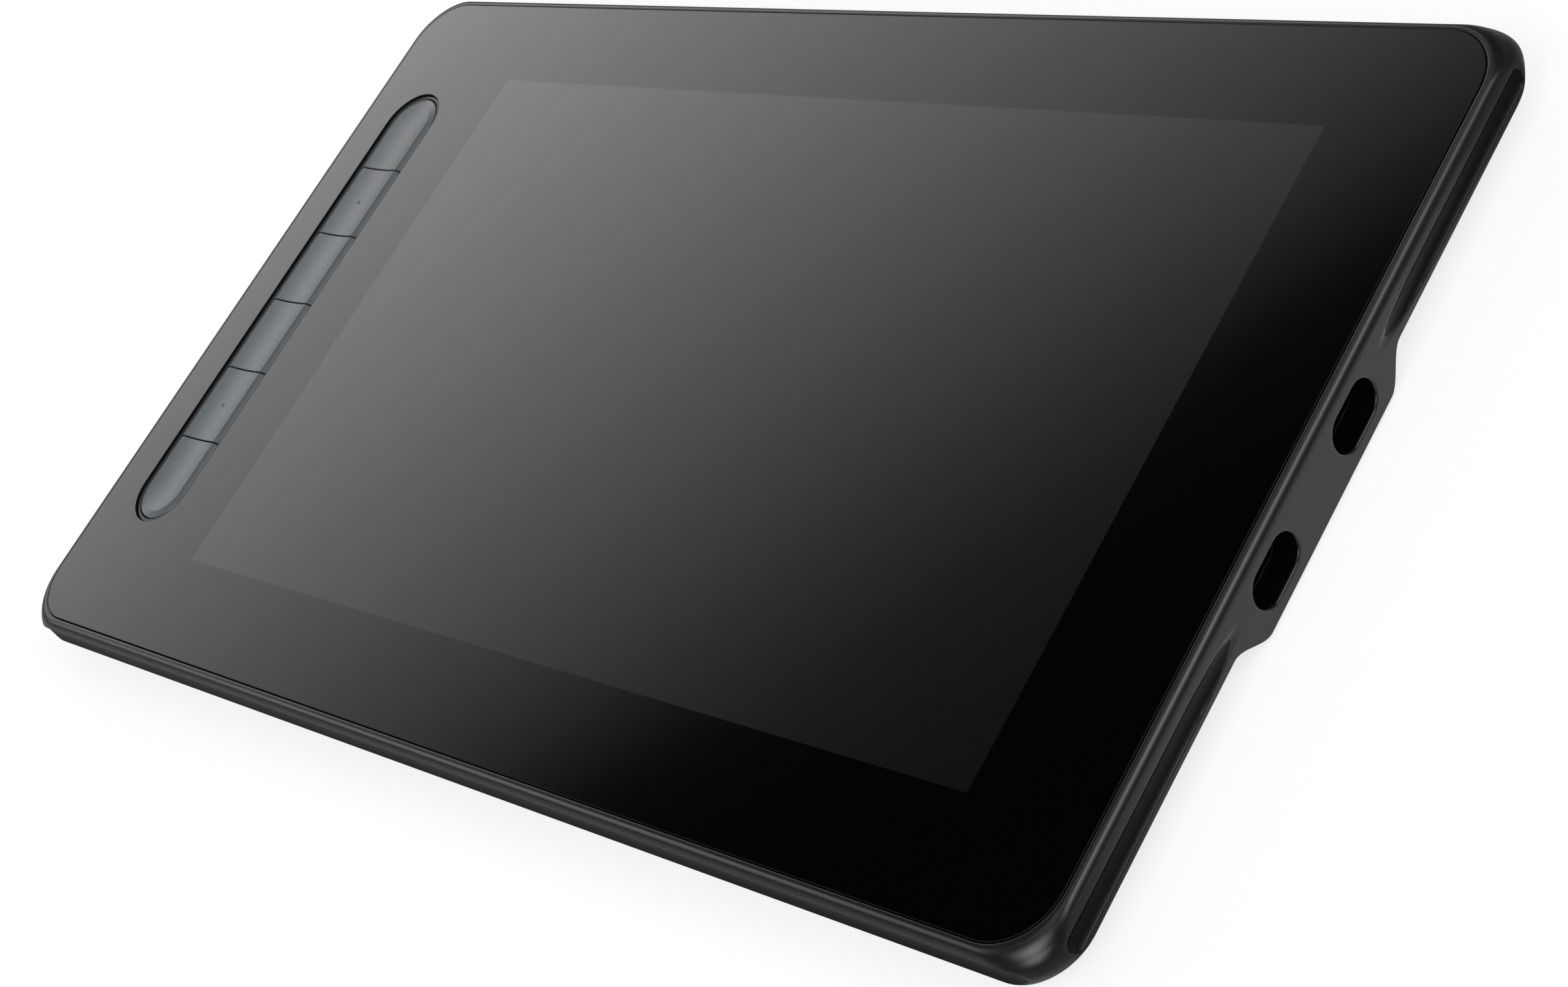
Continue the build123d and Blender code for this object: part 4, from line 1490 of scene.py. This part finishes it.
        # Tunnel faces behind the lip get the near-black finish: painted shade inside the port mouths
        for face in sculptor.mesh.faces:
            shaded = face.calc_center_median().x < LAYOUT.facet_x - self.port_lip - self.shade_start
            face.material_index = (HousingFace.PORT_PAINTED_SHADE if shaded else HousingFace.PLASTIC).value
        length, height = SideKeys.length + self.key_hole_gap, SideKeys.height + self.key_hole_gap
        level = LAYOUT.level(LAYOUT.side_key_depth)
        for x in SideKeys.places:
            sculptor.stack([pill(length, height, depth) for depth in (0.0, self.key_hole_run)],
                           (x, self.key_hole_y, level), TO_FAR_SIDE)
        for x, y in Feet().places():
            sculptor.along([pill(Feet.length + self.pocket_gap, Feet.width + self.pocket_gap, depth, x, y)
                            for depth in (Feet.pocket_depth, self.pocket_bottom)])
        for x, y in Screws().places():
            sculptor.along([pill(width, width, depth, x, y) for width, depth in Screws.seat_rows])
        return sculptor.finish("housing_cutters")

    def port_tunnel(self, sculptor: Sculptor, y: float) -> None:
        """Adds the cutter of one port mouth: slot for the receptacle, floor, mouth and rounded lip.

        Args:
            sculptor: Holds the cutters.
            y: The mouth's middle across the tablet.
        """
        rows = [(self.port_face_x - self.overrun, self.slot_length, self.slot_height),
                (self.port_floor_x, self.slot_length, self.slot_height),
                (self.port_floor_x, self.port_length, self.port_height)]
        for index in range(self.port_lip_steps + 1):
            angle = math.radians(90 / self.port_lip_steps * index)
            grow = self.port_lip * (1 - math.cos(angle)) * 2
            rows.append((LAYOUT.facet_x - self.port_lip * (1 - math.sin(angle)), self.port_length + grow,
                         self.port_height + grow))
        grow = self.port_lip * 2
        rows.append((LAYOUT.facet_x + self.overrun, self.port_length + grow, self.port_height + grow))
        sculptor.stack([pill(length, height, -x) for x, length, height in rows],
                       (0, y, LAYOUT.level(self.port_depth)), TO_RIGHT_END)

    def build(self) -> None:
        """Makes the housing, joined and cut in order."""
        shell = self.shell()
        combine(shell, self.additions(), Merge.ADD)
        combine(shell, self.shelf_room(), Merge.CUT)
        combine(shell, self.cutters(), Merge.CUT)
        soften(shell, self.crease_angle)
        hand_over(shell, BODY, "housing", "rear_housing")


# Front
class GlassFace(Enum):
    """Place of each finish in the glass's list of materials."""

    POLISHED = 0
    GROUND = 1


@dataclass
class FrontGlass:
    """Cover glass with polished edges and the pill shaped hole for the keys."""

    edge: float = 0.09
    edge_steps: int = 3
    corner_steps: int = 40
    flat_normal: float = 0.99
    crease_angle: float = 30.0

    def rows(self) -> list[Pair]:
        """Rows over the glass's rounded edge, from the bottom up.

        Returns:
            Inset and depth of each row.
        """
        rows = [(0.0, LAYOUT.glass_thickness)]
        for index in range(self.edge_steps + 1):
            angle = math.radians(90 / self.edge_steps * index)
            rows.append((self.edge * (1 - math.cos(angle)), self.edge * (1 - math.sin(angle))))
        return rows

    def build(self) -> None:
        """Makes the glass in one skin: up its outer edge, across, down into the key hole, and back."""
        sculptor = Sculptor(StationPlan(arc=divided((0.0, 90.0, self.corner_steps))))
        outer = [around_glass(-inset, LAYOUT.glass_corner - inset, depth) for inset, depth in self.rows()]
        hole = [Outline(LAYOUT.key_hole_width + inset * 2, LAYOUT.key_hole_length + inset * 2,
                        LAYOUT.key_hole_width / 2 + inset, depth, LAYOUT.key_x)
                for inset, depth in self.rows()]
        sculptor.along(outer + hole[::-1] + outer[:1], False, False)
        glass = sculptor.finish("front_glass", GLASS.build())
        glass.data.materials.append(GLASS_EDGE.build())
        for polygon in glass.data.polygons:
            upright = abs(polygon.normal.z) < self.flat_normal
            polygon.material_index = (GlassFace.GROUND if upright else GlassFace.POLISHED).value
        soften(glass, self.crease_angle)
        hand_over(glass, BODY, "cover_glass", "cover_glass")


# Shortcut keys
@dataclass
class ShortcutKeys:
    """Strip of six caps: one bevelled pill with a long dish, split across."""

    length: float = 113.2
    width: float = 14.8
    pitch: float = 18.3
    split: float = 0.4
    count: int = 6
    dotted: tuple[int, ...] = (2, 5)
    crease_angle: float = 24.0

    # Stations within one pitch, and what they keep from the strip's round ends
    marks: tuple[float, ...] = (2.2, 5.2, 9.15, 13.1, 16.1)
    end_margin: float = 1.0

    # Inset and depth of the rows over the bevel, then the dish inside it
    skirt_depth: float = 3.8
    edge_rows: tuple[Pair, ...] = (
        (0.0, 0.75), (0.02, 0.60), (0.08, 0.49), (0.18, 0.40), (0.45, 0.335), (0.9, 0.225), (1.25, 0.135),
        (1.42, 0.085), (1.5, 0.062), (1.58, 0.066), (1.7, 0.085))
    bevel: float = 1.5
    crown_depth: float = 0.05
    dish: float = 0.40
    dish_shares: tuple[float, ...] = (0.93, 0.84, 0.72, 0.58, 0.43, 0.28, 0.14, 0.0)

    # Rounding of the splits, down to a depth
    cut_round: float = 0.09
    cut_round_depth: float = 0.7

    # Hollow, post, hold-down tabs and dot
    wall: float = 1.4
    roof_depth: float = 1.9
    post_radius: float = 1.5
    post_depth: float = 3.6
    post_faces: int = 24
    bury: float = 0.2
    tab_outset: float = 0.15
    tab_half_x: float = 0.65
    tab_half_y: float = 4.0
    tab_height: float = 0.6
    dot_radius: float = 0.52
    dot_rise: float = 0.3

    def strip(self) -> Sculptor:
        """Skins the whole strip as one solid.

        Returns:
            The sculptor that holds it.
        """
        half = self.width / 2
        straight = (self.length - self.width) / 2
        fixed = [0.0] + [mark + self.pitch * step for step in range(self.count // 2) for mark in self.marks]
        sculptor = Sculptor(StationPlan(
            end_fixed=tuple(mark for mark in fixed if mark < straight - self.end_margin), arc=PILL_ARC))
        rows = [(half, self.skirt_depth)] + [(half - inset, depth) for inset, depth in self.edge_rows]
        rows += [((half - self.bevel) * share, self.crown_depth + self.dish * (1 - share * share))
                 for share in self.dish_shares]
        sculptor.along([Outline(radius * 2, (straight + radius) * 2, radius, depth, LAYOUT.key_x)
                        for radius, depth in rows], cap_end=False)
        sculptor.seal()
        return sculptor

    def post_y(self, index: int) -> float:
        """Middle of one cap across the tablet, counted from the far end."""
        return self.pitch * (self.count / 2 - index + 0.5)

    def split_off(self, mesh: bmesh.types.BMesh, limit: float, direction: int) -> None:
        """Cuts the strip across, closes the cut and rounds its upper edge.

        Args:
            mesh: The strip.
            limit: Where it is cut.
            direction: 1 to drop what is farther, -1 to drop what is nearer.
        """
        geometry = mesh.verts[:] + mesh.edges[:] + mesh.faces[:]
        cut = bmesh.ops.bisect_plane(mesh, geom=geometry, dist=CUT_TOLERANCE, plane_co=(0, limit, 0),
                                     plane_no=(0, direction, 0), clear_outer=True)["geom_cut"]
        rim = [item for item in cut if isinstance(item, bmesh.types.BMEdge)]
        bmesh.ops.contextual_create(mesh, geom=rim)
        lowest = LAYOUT.level(self.cut_round_depth)
        upper = [edge for edge in rim if min(vert.co.z for vert in edge.verts) > lowest]
        bmesh.ops.bevel(mesh, geom=upper, offset=self.cut_round, offset_type="OFFSET", segments=2,
                        profile=0.5, affect="EDGES", material=-1, clamp_overlap=True)

    def cap(self, index: int) -> Sculptor:
        """Cuts one cap out of the strip and closes, hollows and finishes it.

        Args:
            index: The cap's number from the far end, from 1.

        Returns:
            The sculptor that holds it.
        """
        sculptor = self.strip()
        half = (self.pitch - self.split) / 2
        if index > 1:
            self.split_off(sculptor.mesh, self.post_y(index) + half, 1)
        if index < self.count:
            self.split_off(sculptor.mesh, self.post_y(index) - half, -1)
        self.hollow(sculptor.mesh)
        self.fittings(sculptor, index)
        return sculptor

    def hollow(self, mesh: bmesh.types.BMesh) -> None:
        """Sinks the middle of a cap's underside up to its roof.

        Args:
            mesh: The cap.
        """
        bottom = min(mesh.faces, key=lambda face: face.calc_center_median().z)
        bmesh.ops.inset_region(mesh, faces=[bottom], thickness=self.wall, use_even_offset=True)
        lift = self.skirt_depth - self.roof_depth
        made = bmesh.ops.extrude_face_region(mesh, geom=[bottom])["geom"]
        verts = [item for item in made if isinstance(item, bmesh.types.BMVert)]
        bmesh.ops.translate(mesh, verts=verts, vec=(0, 0, lift))
        bmesh.ops.delete(mesh, geom=[bottom], context="FACES_ONLY")

    def fittings(self, sculptor: Sculptor, index: int) -> None:
        """Adds the post that presses the switch, the two hold-down tabs and, on two caps, the dot.

        Args:
            sculptor: Holds the cap.
            index: The cap's number from the far end, from 1.
        """
        y = self.post_y(index)
        middle = LAYOUT.level((self.post_depth + self.roof_depth - self.bury) / 2)
        sculptor.post(self.post_radius, self.post_depth - self.roof_depth + self.bury, self.post_faces,
                      Matrix.Translation((LAYOUT.key_x, y, middle)))
        for side in (-1, 1):
            x = LAYOUT.key_x + side * (self.width / 2 + self.tab_outset)
            sculptor.box((x - self.tab_half_x, x + self.tab_half_x),
                         (y - self.tab_half_y, y + self.tab_half_y),
                         (self.skirt_depth - self.tab_height, self.skirt_depth))
        if index in self.dotted:
            sink = LAYOUT.level(self.crown_depth + self.dish) + self.dot_rise - self.dot_radius
            bmesh.ops.create_uvsphere(sculptor.mesh, u_segments=20, v_segments=12, radius=self.dot_radius,
                                      matrix=Matrix.Translation((LAYOUT.key_x, y, sink)))

    def build(self) -> None:
        """Makes the six caps, each on its own body."""
        finish = KEYCAP.build()
        for index in range(1, self.count + 1):
            cap = self.cap(index).finish(f"key_cap_{index}", finish)
            soften(cap, self.crease_angle)
            hand_over(cap, f"shortcut_key_{index}_cap", "key_cap", f"shortcut_key_{index}")


# Power and brightness keys
@dataclass
class SideKeys:
    """Three pill shaped caps in the far long side, each with its flange and post."""

    length: float = 9.0
    height: float = 2.4
    stand: float = 0.5
    flange: float = 0.4
    flange_y: float = 82.85
    flange_thickness: float = 0.6
    post_radius: float = 0.5
    post_length: float = 1.5
    post_faces: int = 16
    bury: float = 0.2
    straight_mark: float = 2.5
    crease_angle: float = 30.0

    # Growth of the outline, and how far it stays back from the face, of each row round the face
    face_rows: tuple[Pair, ...] = (
        (0.0, 0.35), (-0.04, 0.18), (-0.14, 0.06), (-0.32, 0.0), (-0.55, 0.02), (-0.8, 0.07))
    places: tuple[float, ...] = (62.0, 76.0, 90.0)
    names: tuple[str, ...] = ("brightness_down_key", "brightness_up_key", "power_key")

    def cap(self, x: float, finish: bpy.types.Material, name: str) -> bpy.types.Object:
        """Makes one cap, skinned from its flange outwards.

        Args:
            x: Its middle along the tablet.
            finish: Its material.
            name: The object's name.

        Returns:
            The cap.
        """
        sculptor = Sculptor(StationPlan(arc=PILL_ARC, long_fixed=(0.0, self.straight_mark)))
        level = LAYOUT.level(LAYOUT.side_key_depth)
        face_y = LAYOUT.scoop_floor_y + self.stand
        root_y = self.flange_y - self.flange_thickness
        rows = [(self.flange, root_y), (self.flange, self.flange_y), (0.0, self.flange_y)]
        rows += [(grow, face_y - back) for grow, back in self.face_rows]
        sculptor.stack([pill(self.length + grow * 2, self.height + grow * 2, y) for grow, y in rows],
                       (x, 0, level), TO_FAR_SIDE)
        middle_y = root_y - self.post_length / 2 + self.bury / 2
        sculptor.post(self.post_radius, self.post_length + self.bury, self.post_faces,
                      Matrix.Translation((x, middle_y, level)) @ TO_FAR_SIDE)
        return sculptor.finish(name, finish)

    def build(self) -> None:
        """Makes the three caps, each on its own body."""
        finish = SIDE_KEY.build()
        for x, node in zip(self.places, self.names):
            cap = self.cap(x, finish, f"{node}_piece")
            soften(cap, self.crease_angle)
            hand_over(cap, f"{node}_cap", "side_key", node)


# Underside
@dataclass
class Feet:
    """Four rubber pads with rounded edges and a moulded channel round the sole."""

    length: float = 36.0
    width: float = 9.0
    pocket_depth: float = 12.3
    border: float = 20.0
    share_x: float = 0.76
    share_y: float = 0.80
    straight_mark: float = 12.0
    crease_angle: float = 40.0

    # Growth of the outline and depth of each row, from the pocket over the sole's edge and channel
    sole_rows: tuple[Pair, ...] = (
        (0.0, 13.35), (-0.05, 13.52), (-0.16, 13.64), (-0.35, 13.70), (-1.0, 13.70), (-1.12, 13.62),
        (-1.5, 13.62), (-1.62, 13.70))
    names: tuple[str, ...] = ("foot_far_left", "foot_far_right", "foot_near_left", "foot_near_right")

    def places(self) -> list[Pair]:
        """Middles of the four feet.

        Returns:
            X and Y of each foot, in the order of the names.
        """
        x = (LAYOUT.facet_x - self.border) * self.share_x
        y = (LAYOUT.side_y - self.border) * self.share_y
        return [(-x, y), (x, y), (-x, -y), (x, -y)]

    def build(self) -> None:
        """Makes the pads."""
        finish = RUBBER.build()
        rows = [(0.0, self.pocket_depth), *self.sole_rows]
        for (x, y), node in zip(self.places(), self.names):
            sculptor = Sculptor(StationPlan(arc=PILL_ARC, long_fixed=(0.0, self.straight_mark)))
            sculptor.along([pill(self.length + grow * 2, self.width + grow * 2, depth, x, y)
                            for grow, depth in rows])
            pad = sculptor.finish(f"{node}_pad", finish)
            soften(pad, self.crease_angle)
            hand_over(pad, BODY, "foot_rubber", node)


@dataclass
class Screws:
    """Seats of the housing screws, whose own CAD node is shown as it is."""

    inset: float = 7.5
    middle_x: float = 48.1
    middle_share: float = 0.45

    # Width and depth of each row of a seat
    seat_rows: tuple[Pair, ...] = ((4.1, 7.0), (4.1, 7.95), (4.5, 8.15), (4.5, 9.0))

    def places(self) -> list[Pair]:
        """Middles of the twelve screws.

        Returns:
            X and Y of each screw.
        """
        x, y = LAYOUT.facet_x - self.inset, LAYOUT.side_y - self.inset
        middles = []
        for across in (-1, 1):
            for along in (-1, 1):
                middles += [(along * x, across * y), (along * self.middle_x, across * y),
                            (along * x, across * y * self.middle_share)]
        return middles


class InnerParts:
    """CAD nodes whose shape is right: they stay and get their finish by slot."""

    def __init__(self, frame: dict[str, Any]) -> None:
        """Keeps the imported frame's nodes and slots."""
        self.nodes = frame["nodes"]
        self.slots = {part["node"]: part["material_slot"] for part in frame["record"]["subparts"]}

    def dress(self) -> None:
        """Gives each node the finish of its slot."""
        built: dict[str, bpy.types.Material] = {}
        for name, node in sorted(self.nodes.items()):
            slot = self.slots[name]
            if slot not in SLOT_FINISHES:
                continue
            if slot not in built:
                built[slot] = SLOT_FINISHES[slot].build()
            node.data.materials.clear()
            node.data.materials.append(built[slot])
            LOG.info("%s: CAD node with the finish %s", name, built[slot].name)


# Studio
@dataclass(frozen=True)
class Panel:
    """Soft light: where it hangs, how large it is, and how its brightness runs over it.

    Angles are in degrees, lengths in metres. The direction is counted from +X towards +Y.
    """

    name: str
    azimuth: float
    elevation: float
    distance: float
    width: float
    height: float
    middle: float
    slope_side: float = 0.0
    slope_up: float = 0.0
    most: float = 20.0
    fade: float = 0.25

    def outward(self) -> Vector:
        """Unit vector from the middle of the scene towards the panel."""
        turn, tilt = math.radians(self.azimuth), math.radians(self.elevation)
        return Vector((math.cos(turn) * math.cos(tilt), math.sin(turn) * math.cos(tilt), math.sin(tilt)))


PANELS = (
    Panel("gradient_panel", 157.0, 36.0, 1.6, 1.9, 1.1, 0.95, -0.82, -4.35, 2.9, fade=0.05),
    Panel("near_left_panel", 211.0, 33.0, 1.8, 1.6, 1.8, 2.2, fade=0.6),
    Panel("near_panel", -62.0, 43.0, 1.8, 1.7, 1.7, 5.8, fade=0.75),
    Panel("right_panel", 22.0, 43.0, 1.8, 1.6, 1.5, 4.8, fade=0.6),
    Panel("far_panel", 95.0, 62.0, 1.9, 1.6, 1.2, 1.0, fade=0.4),
    Panel("top_panel", 0.0, 88.0, 1.9, 1.7, 1.7, 0.9, fade=0.5),
)


@dataclass
class Studio:
    """Pale sweep, soft lamps and the camera of the photograph, in metres."""

    # Sweep
    floor_radius: float = 3.2
    wall_height: float = 0.55
    sweep_radius: float = 0.6
    sweep_steps: int = 8
    turn_steps: int = 64
    weld: float = 1e-5

    # Paper: its own tone, its lift, and the share of the lift that mirrors see
    floor_tone: float = 0.26
    seen_lift: float = 0.77
    mirrored_share: float = 0.15
    open_half: float = 0.085
    open_fade: float = 0.045
    room_tone: Colour = (0.9, 0.95, 1.0)
    room_strength: float = 0.03

    # Camera, with the optical axis and the frame in pixels of the photograph
    camera_place: tuple[float, float, float] = (0.404887, -0.157492, 0.312446)
    camera_heading: tuple[float, float, float] = (-0.71297, 0.32413, -0.62178)
    camera_roll: float = -44.2595
    focal_length: float = 64.659
    sensor_width: float = 36.0
    clip_start: float = 0.01
    clip_end: float = 50.0
    photo_width: float = 2408.0
    photo_height: float = 1515.0
    optical_axis: tuple[float, float] = (1363.05, 627.70)

    def camera(self) -> None:
        """Puts the camera where the photograph was taken from."""
        data = bpy.data.cameras.new("photo_camera")
        data.sensor_width = self.sensor_width
        data.lens = self.focal_length
        data.shift_x = (self.photo_width / 2 - self.optical_axis[0]) / self.photo_width
        data.shift_y = (self.optical_axis[1] - self.photo_height / 2) / self.photo_width
        data.clip_start, data.clip_end = self.clip_start, self.clip_end
        camera = add_object("photo_camera", data)
        level = Vector(self.camera_heading).to_track_quat("-Z", "Y")
        camera.rotation_mode = "QUATERNION"
        camera.rotation_quaternion = level @ Quaternion((0, 0, 1), math.radians(self.camera_roll))
        camera.location = self.camera_place
        bpy.context.scene.camera = camera

    def sweep_profile(self) -> list[Vector]:
        """Points of the sweep's section, from the middle of the floor to the top of the wall.

        Returns:
            The points.
        """
        start = self.floor_radius - self.sweep_radius
        points = [Vector((0.0, 0, 0)), Vector((start, 0, 0))]
        for index in range(1, self.sweep_steps + 1):
            angle = math.radians(90 * index / self.sweep_steps)
            points.append(Vector((self.floor_radius - self.sweep_radius * (1 - math.sin(angle)), 0,
                                  self.sweep_radius * (1 - math.cos(angle)))))
        points.append(Vector((self.floor_radius, 0, self.wall_height + self.sweep_radius)))
        return points

    def sweep(self) -> None:
        """Makes the floor with a low wall that curves up all round, turned in one spin."""
        shape = bmesh.new()
        verts = [shape.verts.new(point) for point in self.sweep_profile()]
        edges = [shape.edges.new(pair) for pair in zip(verts, verts[1:])]
        bmesh.ops.spin(shape, geom=verts + edges, cent=(0, 0, 0), axis=(0, 0, 1), angle=math.tau,
                       steps=self.turn_steps, use_merge=True)
        bmesh.ops.remove_doubles(shape, verts=shape.verts, dist=self.weld)
        bmesh.ops.recalc_face_normals(shape, faces=shape.faces)
        mesh = store_mesh("studio_sweep", shape)
        if mesh.polygons[0].normal.z < 0:
            mesh.flip_normals()
        for polygon in mesh.polygons:
            polygon.use_smooth = True
        sweep = add_object("studio_sweep", mesh)
        mesh.materials.append(self.sweep_material())

    def mirrored_lift(self, tree: bpy.types.NodeTree) -> bpy.types.NodeSocket:
        """Share of the lift that mirrored paper gets: all of it before the right end, part of it elsewhere.

        Args:
            tree: The paper's node tree.

        Returns:
            The share's socket.
        """
        x, y = object_axes(tree)
        across = add_math(tree, "ABSOLUTE", y)
        before = add_math(tree, "GREATER_THAN", x, LAYOUT.facet_x * METRES)
        inside = add_math(tree, "DIVIDE", add_math(tree, "SUBTRACT", self.open_half, across), self.open_fade,
                          clamp=True)
        return add_math(tree, "MAXIMUM", add_math(tree, "MULTIPLY", before, inside), self.mirrored_share)

    def sweep_material(self) -> bpy.types.Material:
        """White paper: plain diffuse, lifted to white for what sees it directly or mirrors it.

        Returns:
            The material.
        """
        material, surface = bare_material("studio_paper")
        tree = material.node_tree
        paper = tree.nodes.new("ShaderNodeBsdfDiffuse")
        paper.inputs["Color"].default_value = (self.floor_tone,) * 3 + (1.0,)
        lift = tree.nodes.new("ShaderNodeEmission")
        path = tree.nodes.new("ShaderNodeLightPath")
        mirrored = add_math(tree, "MULTIPLY", path.outputs["Is Glossy Ray"], self.mirrored_lift(tree))
        seen = add_math(tree, "MAXIMUM", path.outputs["Is Camera Ray"], path.outputs["Is Transmission Ray"])
        seen = add_math(tree, "MAXIMUM", seen, mirrored)
        tree.links.new(add_math(tree, "MULTIPLY", seen, self.seen_lift), lift.inputs["Strength"])
        both = tree.nodes.new("ShaderNodeAddShader")
        tree.links.new(paper.outputs["BSDF"], both.inputs[0])
        tree.links.new(lift.outputs["Emission"], both.inputs[1])
        tree.links.new(both.outputs["Shader"], surface)
        return material

    def world(self) -> None:
        """Dim even surroundings."""
        world = bpy.data.worlds.new("studio_room")
        world.use_nodes = True
        background = world.node_tree.nodes["Background"]
        background.inputs["Color"].default_value = (*self.room_tone, 1.0)
        background.inputs["Strength"].default_value = self.room_strength
        bpy.context.scene.world = world

    def panel_material(self, panel: Panel) -> bpy.types.Material:
        """Light of a panel: its brightness follows a straight ramp and fades at its edges.

        Args:
            panel: The panel.

        Returns:
            The material.
        """
        material, surface = bare_material(panel.name)
        tree = material.node_tree
        across, up = object_axes(tree)
        ramp = add_math(tree, "ADD", add_math(tree, "MULTIPLY", across, panel.slope_side),
                        add_math(tree, "MULTIPLY", up, panel.slope_up))
        strength = add_math(tree, "MAXIMUM", add_math(tree, "ADD", ramp, panel.middle), 0.0)
        strength = add_math(tree, "MINIMUM", strength, panel.most)
        for place, half in ((across, panel.width / 2), (up, panel.height / 2)):
            inside = add_math(tree, "SUBTRACT", half, add_math(tree, "ABSOLUTE", place))
            faded = add_math(tree, "DIVIDE", inside, panel.fade, clamp=True)
            strength = add_math(tree, "MULTIPLY", strength, faded)
        emission = tree.nodes.new("ShaderNodeEmission")
        tree.links.new(strength, emission.inputs["Strength"])
        tree.links.new(emission.outputs["Emission"], surface)
        return material

    def soft_panel(self, panel: Panel) -> None:
        """Hangs a diffusion panel that no camera sees.

        Args:
            panel: The panel.
        """
        shape = bmesh.new()
        bmesh.ops.create_grid(shape, x_segments=1, y_segments=1, size=0.5)
        bmesh.ops.scale(shape, vec=(panel.width, panel.height, 1), verts=shape.verts)
        sheet = add_object(panel.name, store_mesh(panel.name, shape))
        sheet.location = panel.outward() * panel.distance
        sheet.rotation_euler = panel.outward().to_track_quat("Z", "Y").to_euler()
        sheet.data.materials.append(self.panel_material(panel))
        sheet.visible_camera = False

    def build(self) -> None:
        """Sets the studio up."""
        bpy.context.scene.view_settings.view_transform = "Standard"
        self.sweep()
        self.world()
        for panel in PANELS:
            self.soft_panel(panel)
        self.camera()
        LOG.info("studio is set up")


def main() -> None:
    """Builds every sub-assembly in order."""
    logging.basicConfig(level=logging.INFO, format="%(name)s %(message)s")
    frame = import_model()
    Housing().build()
    FrontGlass().build()
    ShortcutKeys().build()
    SideKeys().build()
    Feet().build()
    InnerParts(frame).dress()
    Studio().build()


if __name__ == "__main__":
    main()
